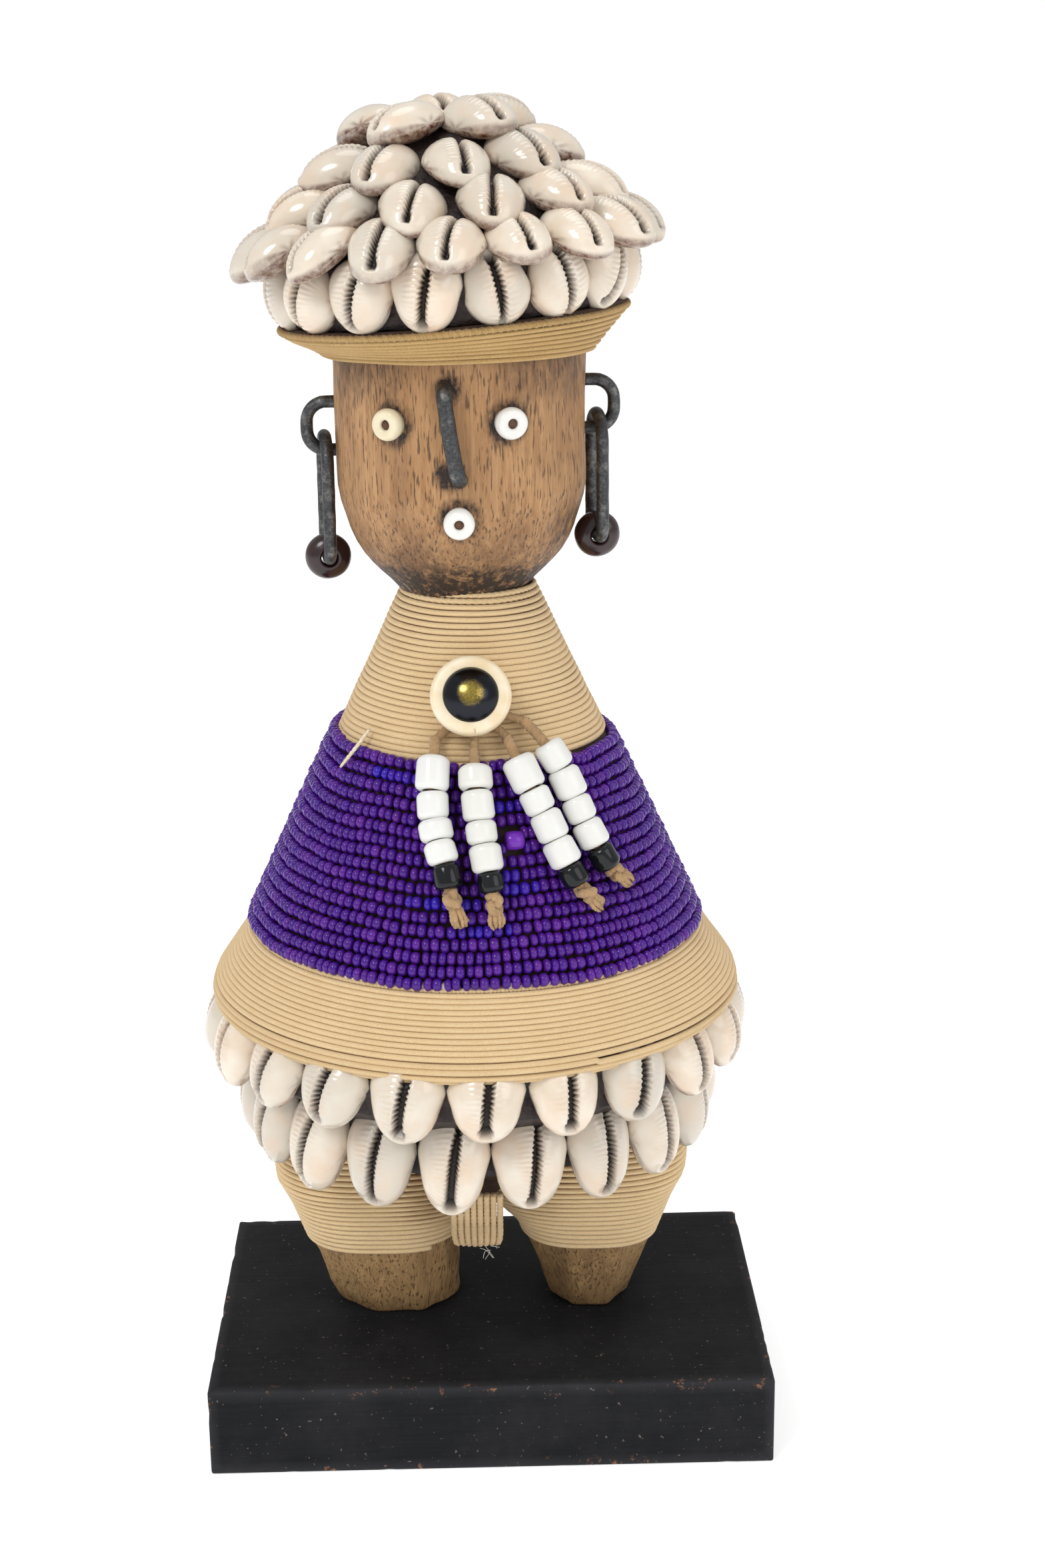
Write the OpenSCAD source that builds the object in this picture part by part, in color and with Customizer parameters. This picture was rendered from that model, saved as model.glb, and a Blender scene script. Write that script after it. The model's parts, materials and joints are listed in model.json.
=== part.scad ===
// A carved wooden fertility doll: a board plinth, a one-piece figure, cord and bead
// wraps, a cap and a skirt of cowrie shells, wire features and ear rings, and a
// medallion with four beaded strands. Millimetres, +Z up, the doll faces -Y, and the
// origin is the middle of the plinth's underside.

/* [Plinth] */
// Length of the plinth board, side to side
plinth_length = 120; // [100:1:170]
// Depth of the plinth board, front to back
plinth_depth = 80; // [66:1:130]
// Thickness of the plinth board
plinth_height = 19.6; // [16:0.2:32]
// Bevel along the plinth's top edges
plinth_bevel = 0.6; // [0.2:0.1:1.5]
// Diameter of the screw that holds each leg
screw_d = 3.5; // [3:0.1:4.2]
// Depth of each screw in its leg
screw_bite = 13; // [8:1:16]

/* [Figure] */
// Place of the figure's axis from the plinth's middle, side to side
figure_x = -1.9; // [-6:0.1:6]
// Place of the figure's axis from the plinth's middle, front to back
figure_y = 1.5; // [-4:0.1:4]
// Height of the legs, up to the underside of the hips
leg_height = 31; // [28:0.5:40]
// Height of the hips and skirt core, up to the rim
skirt_height = 45; // [42:0.5:56]
// Height of the rim flange
rim_height = 15.4; // [12:0.2:18]
// Height of the beaded part of the robe
bead_height = 43; // [40:0.2:54]
// Height of the corded part of the robe, up to the neck
neck_height = 30; // [28:0.5:36]
// Height of the chin's taper above the neck
chin_height = 21; // [18:0.5:26]
// Height of the face above the chin
face_height = 25; // [24:0.5:31]
// Radius of the neck
neck_r = 12.7; // [11:0.1:14]
// Radius of the robe at the rim
robe_r = 46.6; // [44:0.2:50]
// Radius of the rim flange
rim_r = 54.8; // [53:0.2:58]
// Radius of the skirt core under the lower shells
skirt_core_r = 39; // [36:0.5:41]
// Radius of the head
head_r = 25.7; // [23:0.1:27]
// Shift of the head's axis, side to side
head_x = -1.1; // [-2:0.1:2]
// Tilt of the cap, left side down
cap_tilt = 4.3; // [0:0.1:8]

/* [Cord and beads] */
// Diameter of the cord wound round the robe and the thighs
wrap_cord_d = 1.4; // [1.2:0.05:1.8]
// Diameter of the cord wound round the cap's brim
brim_cord_d = 2; // [1.6:0.1:2.4]
// Diameter of the robe's seed beads
seed_bead_d = 2.7; // [2.3:0.05:3]
// Diameter of the one larger bead among the seed beads
accent_bead_d = 3.8; // [3.4:0.1:4.4]
// Outside diameter of the strands' beads
strand_bead_d = 6.5; // [6:0.1:7]
// Length of a strand's bead
strand_bead_length = 4.8; // [4.2:0.1:5]
// Diameter of a strand's cord
strand_cord_d = 2.3; // [1.8:0.1:2.6]
// Outside diameter of the eye and mouth beads
face_bead_d = 6.3; // [5.6:0.1:7.2]
// Diameter of the hole in a face bead, which its peg fills
face_bead_hole_d = 1.8; // [1.4:0.1:2.2]
// Radial clearance of a bead on its cord or wire
bead_clearance = 0.35; // [0.3:0.01:0.45]

/* [Cowrie shells] */
// Number of shells in the skirt's upper row
upper_count = 21; // [12:1:21]
// Number of shells in the skirt's lower row
lower_count = 19; // [12:1:19]
// Length of a skirt shell
skirt_shell_length = 20; // [18:0.2:21]
// Width of a skirt shell
skirt_shell_width = 13.8; // [12:0.2:14]
// Length of a cap shell
cap_shell_length = 17; // [15:0.2:18]
// Width of a cap shell
cap_shell_width = 12.2; // [11:0.2:12.4]
// Depth of a shell behind its long axis, where its back is cut flat
shell_back = 1.8; // [1.4:0.1:2.2]
// Width of a shell's slit
slit_width = 1.5; // [1:0.1:2.2]
// Depth that the shells sink into the pitch
shell_bedding = 0.8; // [0.4:0.1:1.2]

/* [Wire] */
// Diameter of the nose wire
nose_wire_d = 3; // [2.6:0.1:3.4]
// Diameter of the ear and ring wire
ear_wire_d = 2.6; // [2.2:0.1:2.8]
// Height of the nose between its two ends
nose_height = 17; // [15:0.2:20]
// Reach of an ear staple from the side of the head
ear_reach = 7; // [6.8:0.1:8]
// Height between an ear staple's two legs
ear_height = 9.8; // [8.4:0.2:11]
// Height of an ear ring, measured between wire centres
ring_height = 25; // [22:0.5:27]
// Width of an ear ring, measured between wire centres
ring_width = 12; // [11:0.5:14]
// Diameter of an ear ring's bead
ring_bead_d = 9.6; // [8.6:0.1:10]
// Length of an ear ring's bead
ring_bead_length = 6; // [5:0.2:6.4]

/* [Medallion] */
// Outside diameter of the bone ring
medallion_d = 16.4; // [15:0.1:17]
// Diameter of the tack's dome
tack_d = 10.8; // [9:0.1:12]
// Thickness of the bone ring
medallion_thickness = 3; // [2.6:0.1:3.2]
// Height of the medallion's centre below the neck
medallion_drop = 20; // [19:0.1:21]

/* [Hidden] */
$fn = 64;
small = 0.01;

// Levels, from the plinth up
hip_z = plinth_height + leg_height;
flange_z = hip_z + skirt_height;
robe_z = flange_z + rim_height;
bead_top_z = robe_z + bead_height;
neck_z = bead_top_z + neck_height;
face_z = neck_z + chin_height;
brim_z = face_z + face_height;

// The robe's wooden cone
robe_slope = (robe_r - neck_r) / (neck_z - robe_z);
robe_angle = atan(robe_slope);
function robe_wood_r(z) = neck_r + (neck_z - z) * robe_slope;
// A point over the robe: x from the axis, height, and distance out from the wood
function over_robe(x, z, lift) =
    let (r = robe_wood_r(z) + lift / cos(robe_angle))
    [figure_x + x, figure_y - sqrt(r * r - x * x), z];

wood_color = [0.52, 0.36, 0.21];
cord_color = [0.74, 0.61, 0.42];
shell_color = [0.91, 0.87, 0.80];
pitch_color = [0.13, 0.10, 0.09];
wire_color = [0.28, 0.28, 0.29];
purple_color = [0.28, 0.13, 0.52];
black_color = [0.09, 0.09, 0.10];
white_color = [0.95, 0.95, 0.93];
bone_color = [0.92, 0.86, 0.74];

// Cord wound in touching turns on a straight slant from [r, z] to [r, z], where
// the slant is the wood's surface, as rings joined by a thin backing
module wound_rings(from, to, cord_d) {
    run = to - from;
    reach = norm(run);
    along = run / reach;
    out = [along[1], -along[0]] * sign(along[1]);
    turns = floor(reach / cord_d);
    spread = reach / turns;
    lift = cord_d / 2 + 0.06;
    rotate_extrude($fn = 96) polygon([from, to, to + out * lift, from + out * lift]);
    rotate_extrude($fn = 96) for (i = [0 : turns - 1])
        translate(from + along * spread * (i + 0.5) + out * lift) circle(d = cord_d - small);
}

// A round or barrel bead on the Z axis, centred, with a true bore
module bead(outer_d, length, bore_d) {
    difference() {
        rotate_extrude() {
            intersection() {
                translate([0, -length / 2]) square([outer_d / 2, length]);
                circle(r = norm([outer_d * 0.40, length / 2]));
            }
        }
        cylinder(d = bore_d, h = length + 2, center = true);
    }
}

// Turns local +Z to the given direction
module point_to(direction) {
    rotate([0, acos(direction[2] / norm(direction)), atan2(direction[1], direction[0])])
        children();
}

// A cowrie: an egg of revolution about Z, its aperture to +X, its back cut flat
// behind the axis, and a slit along the aperture
module cowrie(length, width) {
    step = 18;
    difference() {
        rotate_extrude($fn = 48) polygon([for (a = [-90 : step : 90])
            [width / 2 * pow(cos(a), 0.8), length / 2 * sin(a)]]);
        translate([-shell_back - width, -width, -length]) cube([width, 2 * width, 2 * length]);
        translate([width * 0.33, -slit_width / 2, -length]) cube([width, slit_width, 2 * length]);
    }
}

// --- Plinth ---------------------------------------------------------------

// Feet: middle and half size on the plinth, and middle and half size at the hips
left_leg = [[-18.6, 5], [13.5, 13.5], [-24, 0], [19.5, 20.5]];
right_leg = [[24.4, 4.5], [8.6, 12], [24.5, 0], [20, 20.5]];
screw_head_d = screw_d * 2;
screw_clearance = 0.25;
screw_sink = 0.4;

module screw_place(leg) {
    translate([figure_x + leg[0][0], figure_y + leg[0][1], 0]) children();
}

// A countersunk head and its shank, up to the plinth's top
module screw_shape(extra, from_z) {
    head_h = (screw_head_d - screw_d) / 2;
    translate([0, 0, from_z])
        cylinder(d1 = screw_head_d + 2 * extra, d2 = screw_d + 2 * extra, h = head_h);
    translate([0, 0, from_z + head_h - small])
        cylinder(d = screw_d + 2 * extra, h = plinth_height - from_z - head_h + small);
}

module plinth() {
    color([0.15, 0.15, 0.16]) difference() {
        rounded = plinth_bevel;
        union() {
            translate([-plinth_length / 2, -plinth_depth / 2, 0])
                cube([plinth_length, plinth_depth, plinth_height - rounded]);
            translate([-plinth_length / 2 + rounded, -plinth_depth / 2 + rounded, 0])
                cube([plinth_length - 2 * rounded, plinth_depth - 2 * rounded, plinth_height]);
        }
        for (leg = [left_leg, right_leg])
            screw_place(leg) {
                translate([0, 0, -1]) cylinder(d = screw_head_d + 2 * screw_clearance, h = 1 + screw_sink);
                screw_shape(screw_clearance, screw_sink);
                translate([0, 0, plinth_height - 1]) cylinder(d = screw_d + 2 * screw_clearance, h = 2);
            }
    }
}

module leg_screws() {
    color([0.62, 0.60, 0.55]) for (leg = [left_leg, right_leg]) screw_place(leg) {
        screw_shape(0, screw_sink + screw_clearance / 2);
        translate([0, 0, plinth_height - small]) cylinder(d = screw_d, h = screw_bite);
    }
}

// --- Figure ---------------------------------------------------------------

// An eight-sided section of a leg, its corners between the axes
module leg_section(middle, half, grow) {
    side = (half + [grow, grow]) / cos(22.5);
    translate(middle) polygon([for (a = [22.5 : 45 : 359]) [side[0] * cos(a), side[1] * sin(a)]]);
}

leg_lap = 4;
// The hips' underside: radius where it starts, and how fast it widens upwards
hip_r = 24.5;
hip_slope = 1.35;
skirt_low_z = hip_z + (skirt_core_r - hip_r) / hip_slope;
function leg_mix(leg, t, k) = leg[k] * (1 - t) + leg[k + 2] * t;

module leg_shape(leg, from_z, to_z, grow) {
    span = leg_height + leg_lap;
    hull() for (z = [from_z, to_z]) {
        t = (z - plinth_height) / span;
        translate([0, 0, z - (z == to_z ? small : 0)]) linear_extrude(small)
            leg_section(leg_mix(leg, t, 0), leg_mix(leg, t, 1), grow);
    }
}

// Cap frame: its origin is on the tilted axis at the foot of the brim
module cap_frame() {
    translate([figure_x + head_x, figure_y, brim_z]) rotate([0, -cap_tilt, 0]) children();
}

brim_height = 9.6;
brim_r = 35;
brim_slope = (brim_r - head_r) / brim_height;
cap_core_r = 30;
cap_core_top = 38;
staple_bite = 6;
ear_z_left = brim_z - 18;
ear_z_right = brim_z - 14.2;
nose_top_z = brim_z - 2.8;
nose_turn = -5;
// Face beads: turn about the head's axis, and height
eye_left = [-33, brim_z - 9.8];
eye_right = [21.5, brim_z - 9.6];
mouth = [-1.2, brim_z - 28.7];
peg_bite = 8;

module head_place(turn, z) {
    translate([figure_x + head_x, figure_y, z]) rotate([0, 0, turn]) children();
}

module face_bead_place(spot) {
    z = spot[1];
    head_place(spot[0], z) translate([0, -head_r, 0]) rotate([90, 0, 0]) children();
}

module carved_figure() {
    color(wood_color) difference() {
        union() {
            for (leg = [left_leg, right_leg])
                translate([figure_x, figure_y, 0])
                    leg_shape(leg, plinth_height, hip_z + leg_lap, 0);
            translate([figure_x, figure_y, 0]) rotate_extrude($fn = 96) polygon([
                [0, hip_z], [hip_r, hip_z], [skirt_core_r, skirt_low_z],
                [skirt_core_r + 4, flange_z - 12], [rim_r - 8, flange_z - 11],
                [rim_r - 6, flange_z], [rim_r - 1.2, flange_z],
                [rim_r, flange_z + 1.2], [rim_r, flange_z + 3],
                [robe_r, robe_z], [neck_r, neck_z], [0, neck_z]
            ]);
            translate([figure_x + head_x, figure_y, 0]) rotate_extrude($fn = 96) polygon([
                [0, neck_z - 4], [neck_r - 1.6, neck_z - 4], [neck_r - 1.6, neck_z + 0.3],
                [neck_r + 1.4, neck_z + 1.6], [head_r * 0.88, neck_z + chin_height * 0.48],
                [head_r * 0.97, neck_z + chin_height * 0.78], [head_r, face_z],
                [head_r, brim_z + 4], [0, brim_z + 4]
            ]);
            cap_frame() rotate_extrude($fn = 96) polygon([
                [0, -4], [head_r - 4 * brim_slope, -4], [brim_r, brim_height],
                [cap_core_r, brim_height], [cap_core_r - 1, 15], [cap_core_r - 8, 22],
                [8, cap_core_top - 4], [0, cap_core_top - 2]
            ]);
        }
        for (leg = [left_leg, right_leg])
            screw_place(leg) translate([0, 0, plinth_height - 1])
                cylinder(d = screw_d, h = screw_bite + 1);
        for (spot = [eye_left, eye_right, mouth])
            face_bead_place(spot) translate([0, 0, -peg_bite])
                cylinder(d = face_bead_hole_d, h = peg_bite + 4);
        nose_legs(0);
        for (side = [-1, 1]) ear_legs(side, 0);
        medallion_frame() translate([0, 0, -tack_bite]) cylinder(d = tack_pin_d, h = tack_bite);
    }
}

// --- Cord and bead wraps ----------------------------------------------------

module on_axis() {
    translate([figure_x, figure_y, 0]) children();
}

module neck_cord_wrap() {
    color(cord_color) difference() {
        on_axis() wound_rings([robe_wood_r(bead_top_z + 0.2), bead_top_z + 0.2],
            [robe_wood_r(neck_z - 1.6), neck_z - 1.6], wrap_cord_d);
        medallion_frame() translate([0, 0, -tack_bite]) cylinder(d = tack_pin_d, h = tack_bite + 6);
    }
}

module seed_bead_rows() {
    color(purple_color) difference() {
        on_axis() wound_rings([robe_r, robe_z], [robe_wood_r(bead_top_z), bead_top_z],
            seed_bead_d);
        accent_place() cylinder(d = accent_bead_d + 2 * accent_gap,
            h = accent_length + 2 * accent_gap, center = true);
    }
}

accent_spot = [8.2, 138.5];
accent_length = accent_bead_d * 0.72;
accent_gap = 0.1;

module accent_place() {
    translate(over_robe(accent_spot[0], accent_spot[1], accent_bead_d / 2 + 0.15))
        rotate([0, 90, 0]) children();
}

module accent_bead() {
    color(purple_color) accent_place() rotate_extrude() intersection() {
        translate([0, -accent_length / 2]) square([accent_bead_d / 2, accent_length]);
        circle(d = accent_bead_d);
    }
}

// A loose end of the bead thread, over the robe's upper left
thread_d = 0.9;
thread_from = over_robe(-20.7, 157.6, wrap_cord_d + 1.4);
thread_to = over_robe(-26.9, 149.8, seed_bead_d + 1.2);

module bead_thread_end() {
    color([0.86, 0.82, 0.74]) translate(thread_from) point_to(thread_to - thread_from)
        cylinder(d = thread_d, h = norm(thread_to - thread_from));
}

rim_wrap_d = wrap_cord_d * 1.1;

module rim_cord_wrap() {
    lap = 0.5;
    color(cord_color) on_axis() {
        difference() {
            union() {
                wound_rings([rim_r, flange_z + 3], [robe_r, robe_z - lap], rim_wrap_d);
                wound_rings([rim_r, flange_z], [rim_r, flange_z + 3.6], rim_wrap_d);
            }
            rotate_extrude($fn = 96) polygon([
                [0, flange_z - 5], [rim_r, flange_z - 5], [rim_r, flange_z + 3],
                [robe_r, robe_z], [0, robe_z]
            ]);
        }
    }
}

module thigh_wrap(leg) {
    low = plinth_height + 20;
    high = hip_z - 0.2;
    color(cord_color) on_axis() difference() {
        intersection() {
            leg_shape(leg, plinth_height, hip_z + leg_lap, wrap_cord_d);
            translate([-100, -100, low]) cube([200, 200, high - low]);
        }
        leg_shape(leg, plinth_height, hip_z + leg_lap, 0);
    }
}

strap_x = -1.2;
strap_width = 9.6;
strap_thickness = 2.4;
strap_y = left_leg[3][1] + wrap_cord_d + 0.3;

// The strap between the thighs: it comes down over the hips at the front, passes
// under the crotch and goes up over the hips at the back
module crotch_cord_strap() {
    gap = 3.6;
    low = hip_z - 8;
    rise = 9;
    over = strap_thickness + 0.5;
    top_y = hip_r + rise * hip_slope + 0.1;
    side = [[strap_y, low], [strap_y, hip_z - 0.1], [hip_r + 0.1, hip_z - 0.1],
        [top_y, hip_z + rise], [top_y + over, hip_z + rise], [hip_r + over, hip_z - 2],
        [strap_y + strap_thickness, low]];
    color(cord_color) on_axis() translate([strap_x, 0, 0]) {
        for (turn = [0, 180]) rotate([0, 0, turn]) translate([-strap_width / 2, 0, 0])
            rotate([90, 0, 90]) linear_extrude(strap_width) polygon(side);
        translate([-gap / 2, -strap_y - small, low])
            cube([gap, 2 * strap_y + 2 * small, strap_thickness]);
    }
}

brim_wrap_low = [head_r + 0.3, 0.35];
brim_wrap_high = [brim_r, brim_height];

module brim_cord_wrap() {
    color(cord_color) cap_frame() difference() {
        wound_rings(brim_wrap_high, brim_wrap_low, brim_cord_d);
        rotate_extrude($fn = 96) polygon([
            [0, -6], [head_r, -6], [head_r, 0], [brim_r, brim_height], [0, brim_height]
        ]);
    }
}

// --- Skirt of shells --------------------------------------------------------

upper_row_r = rim_r - 1.2;
upper_row_z = flange_z - 7.9;
upper_length = skirt_shell_length - 5;
lower_row_r = skirt_core_r + 6.4;
lower_row_z = hip_z + 21;
lower_lean = 5;

module shell_ring(count, phase, r, z, lean, length, width) {
    for (i = [0 : count - 1])
        rotate([0, 0, phase - 90 + i * 360 / count]) translate([r, 0, z])
            rotate([0, lean, 0]) cowrie(length, width);
}

module upper_skirt_cowries() {
    color(shell_color) on_axis()
        shell_ring(upper_count, 1.8, upper_row_r, upper_row_z, 0, upper_length, skirt_shell_width);
}

module lower_skirt_cowries() {
    color(shell_color) on_axis()
        shell_ring(lower_count, -6.3, lower_row_r, lower_row_z, lower_lean,
            skirt_shell_length, skirt_shell_width);
}

module skirt_pitch() {
    bed_low = lower_row_r - shell_back + shell_bedding;
    bed_high = upper_row_r - shell_back + shell_bedding;
    half = skirt_shell_length / 2 - 2;
    tuck = half * tan(lower_lean);
    color(pitch_color) on_axis() difference() {
        rotate_extrude($fn = 96) polygon([
            [20, skirt_low_z + 0.5], [bed_low - tuck, lower_row_z - half],
            [bed_low + tuck, lower_row_z + half - 1],
            [bed_high, upper_row_z - upper_length / 2 + 4],
            [bed_high, flange_z - 0.3], [20, flange_z - 0.3]
        ]);
        rotate_extrude($fn = 96) polygon([
            [0, hip_z], [hip_r, hip_z], [skirt_core_r, skirt_low_z],
            [skirt_core_r + 4, flange_z - 12], [rim_r - 8, flange_z - 11],
            [rim_r - 6, flange_z], [0, flange_z]
        ]);
    }
}

// --- Cap of shells ----------------------------------------------------------

// Rows from the top down: count, first shell's turn, tip radius, axis height, slope
cap_rows = [
    [5, -30, 21.0, 45.6, 12],
    [9, 9, 29.2, 38.6, 18],
    [12, -12, 36.6, 31.6, 22],
    [17, 1, 43.6, 24.6, 25]
];
row_half = cap_shell_length / 2;
function row_mid_r(row) = row[2] - row_half * cos(row[4]);
// Height of the flat backs of a row's shells at radius r
function bed_z(row, r) =
    row[3] - (r - row_mid_r(row)) * tan(row[4]) - shell_back / cos(row[4]);

// Everything over the backs of a row's shells, out to just past their tips
module over_bed(row) {
    edge = row[2] + 0.4;
    rotate_extrude($fn = 96) polygon([
        [0, bed_z(row, 0)], [edge, bed_z(row, edge)], [edge, 80], [0, 80]
    ]);
}

module cap_row(i) {
    row = cap_rows[i];
    color(shell_color) cap_frame() difference() {
        for (n = [0 : row[0] - 1])
            rotate([0, 0, row[1] - 90 + n * 360 / row[0]])
                translate([row_mid_r(row), 0, row[3]])
                    rotate([0, -90 + row[4], 0]) mirror([0, 0, 1])
                        cowrie(cap_shell_length, cap_shell_width);
        if (i > 0) over_bed(cap_rows[i - 1]);
        else translate([0, 0, crown_z - shell_back]) cylinder(r = crown_seat_r, h = 20);
    }
}

bottom_count = 16;
bottom_row_r = 32.6;
bottom_length = 14.4;
bottom_z = brim_height + 1.2 + bottom_length / 2;
crown_z = 47.2;
crown_seat_r = 9;

module cap_cowries_row_5() {
    color(shell_color) cap_frame() difference() {
        shell_ring(bottom_count, -8, bottom_row_r, bottom_z, 0, bottom_length, cap_shell_width);
        over_bed(cap_rows[3]);
    }
}

module crown_cowrie() {
    color(shell_color) cap_frame() translate([0, 0, crown_z])
        rotate([0, -90, 25]) cowrie(cap_shell_length, cap_shell_width);
}

module cap_pitch() {
    wall = bottom_row_r - shell_back + shell_bedding;
    risers = [for (row = cap_rows) row[2] - 2 * row_half * cos(row[4]) + 1.5];
    steps = [for (i = [3 : -1 : 0]) each [
        [i == 3 ? wall + 4 : risers[i + 1], bed_z(cap_rows[i], i == 3 ? wall + 4 : risers[i + 1]) + 0.5],
        [risers[i], bed_z(cap_rows[i], risers[i]) + 0.5]
    ]];
    top = crown_z - shell_back + 0.5;
    color(pitch_color) cap_frame() difference() {
        rotate_extrude($fn = 96) polygon(concat(
            [[0, brim_height], [wall, brim_height], [wall, bottom_z + 4]],
            steps, [[risers[0], top], [0, top]]
        ));
        rotate_extrude($fn = 96) polygon([
            [0, -4], [brim_r, -4], [brim_r, brim_height], [cap_core_r, brim_height],
            [cap_core_r - 1, 15], [cap_core_r - 8, 22], [8, cap_core_top - 4],
            [0, cap_core_top - 2]
        ]);
    }
}

// --- Face -------------------------------------------------------------------

face_bead_length = 4.2;

module face_bead(spot) {
    color(white_color) face_bead_place(spot) translate([0, 0, face_bead_length / 2])
        bead(face_bead_d, face_bead_length, face_bead_hole_d + 0.1);
}

module face_bead_pegs() {
    color([0.30, 0.19, 0.12]) for (spot = [eye_left, eye_right, mouth])
        face_bead_place(spot) translate([0, 0, -peg_bite])
            cylinder(d = face_bead_hole_d, h = peg_bite + face_bead_length - 0.5);
}

// A bent wire staple in the local XZ plane: legs along X at z = 0 and z = height,
// reaching from -bite to +reach, joined by a straight with round corners
module staple(wire_d, height, reach, bite, bend) {
    mid_reach = reach - wire_d / 2;
    for (z = [0, height]) translate([-bite, 0, z]) rotate([0, 90, 0])
        cylinder(d = wire_d, h = bite + mid_reach - bend);
    translate([mid_reach, 0, bend]) cylinder(d = wire_d, h = height - 2 * bend);
    for (s = [0, 1]) translate([mid_reach - bend, 0, s * height + (1 - 2 * s) * bend])
        rotate([90, 0, 0]) rotate([0, 0, s * 90 - 90])
            rotate_extrude(angle = 90, $fn = 48) translate([bend, 0]) circle(d = wire_d, $fn = 32);
}

nose_reach = 4.4;

module nose_frame() {
    head_place(nose_turn, nose_top_z - nose_height) translate([0, -head_r, 0])
        rotate([0, 0, -90]) children();
}

module nose_legs(grow) {
    nose_frame() for (z = [0, nose_height]) translate([-staple_bite, 0, z]) rotate([0, 90, 0])
        cylinder(d = nose_wire_d + grow, h = staple_bite + 2);
}

module nose_staple() {
    color(wire_color) nose_frame()
        staple(nose_wire_d, nose_height, nose_reach, staple_bite, nose_wire_d * 0.95);
}

// Radius of an ear staple's two bends, which nearly make a half circle
ear_bend = 4;

function ear_z(side) = side < 0 ? ear_z_left : ear_z_right;

module ear_frame(side) {
    head_place(side < 0 ? 180 : 0, ear_z(side)) translate([head_r, 0, 0]) children();
}

module ear_legs(side, grow) {
    ear_frame(side) for (z = [0, ear_height]) translate([-staple_bite, 0, z]) rotate([0, 90, 0])
        cylinder(d = ear_wire_d + grow, h = staple_bite + 1);
}

module ear_staple(side) {
    color(wire_color) ear_frame(side)
        staple(ear_wire_d, ear_height, ear_reach, staple_bite, ear_bend);
}

// --- Ear rings --------------------------------------------------------------

ring_play = 0.3;
ring_out = ear_reach - ear_wire_d / 2 - ear_bend + 0.5;
ring_corner = 3;
ring_turn = 8;
ring_gap = 0.6;

// Ring frame: its origin is the middle of the wire where it hangs on the staple
module ring_frame(side) {
    ear_frame(side) translate([ring_out, 0, ear_wire_d + ring_play])
        rotate([0, 0, ring_turn]) children();
}

module ring_wire() {
    half = ring_width / 2;
    straight = ring_width - 2 * ring_corner;
    leg = ring_height - half - ring_corner;
    translate([0, 0, -half]) rotate([90, 0, 90])
        rotate_extrude(angle = 180) translate([half, 0]) circle(d = ear_wire_d, $fn = 32);
    for (s = [-1, 1]) {
        translate([0, s * half, -half - leg]) cylinder(d = ear_wire_d, h = leg);
        translate([0, s * straight / 2, -half - leg]) rotate([90, 0, 90])
            rotate([0, 0, s > 0 ? -90 : 180]) rotate_extrude(angle = 90)
                translate([ring_corner, 0]) circle(d = ear_wire_d, $fn = 32);
        translate([0, s * ring_gap / 2, -ring_height]) rotate([-90 * s, 0, 0])
            cylinder(d = ear_wire_d, h = (straight - ring_gap) / 2);
    }
}

module ear_ring(side) {
    color(wire_color) ring_frame(side) ring_wire();
}

module ear_ring_bead(side) {
    color([0.14, 0.08, 0.07]) ring_frame(side) translate([0, 0, -ring_height])
        rotate([90, 0, 0]) bead(ring_bead_d, ring_bead_length, ear_wire_d + 2 * bead_clearance);
}

// --- Medallion --------------------------------------------------------------

tack_pin_d = 1.6;
tack_bite = 12;
cord_room = strand_cord_d + 0.3;
medallion_z = neck_z - medallion_drop;

// Local +Z stands out from the robe, and the origin is on the wood
module medallion_frame() {
    translate([figure_x, figure_y - robe_wood_r(medallion_z), medallion_z])
        rotate([90 - robe_angle, 0, 0]) children();
}

medallion_back = wrap_cord_d + 0.06 + cord_room;

module medallion_ring() {
    color(bone_color) medallion_frame() translate([0, 0, medallion_back]) difference() {
        rotate_extrude() intersection() {
            square([medallion_d / 2, medallion_thickness]);
            translate([0, medallion_thickness / 2])
                circle(r = norm([medallion_d / 2 - 0.5, medallion_thickness / 2]));
        }
        translate([0, 0, -1]) cylinder(d = tack_pin_d + 0.2, h = medallion_thickness + 2);
    }
}

module medallion_tack() {
    dome_h = 2.6;
    dome_r = (pow(tack_d / 2, 2) + dome_h * dome_h) / (2 * dome_h);
    face = medallion_back + medallion_thickness;
    color(black_color) medallion_frame() {
        translate([0, 0, -tack_bite]) cylinder(d = tack_pin_d, h = tack_bite + face + small);
        translate([0, 0, face]) intersection() {
            translate([0, 0, dome_h - dome_r]) sphere(r = dome_r, $fn = 96);
            cylinder(d = tack_d, h = dome_h + 1);
        }
    }
}

// --- Beaded strands ---------------------------------------------------------

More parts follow.
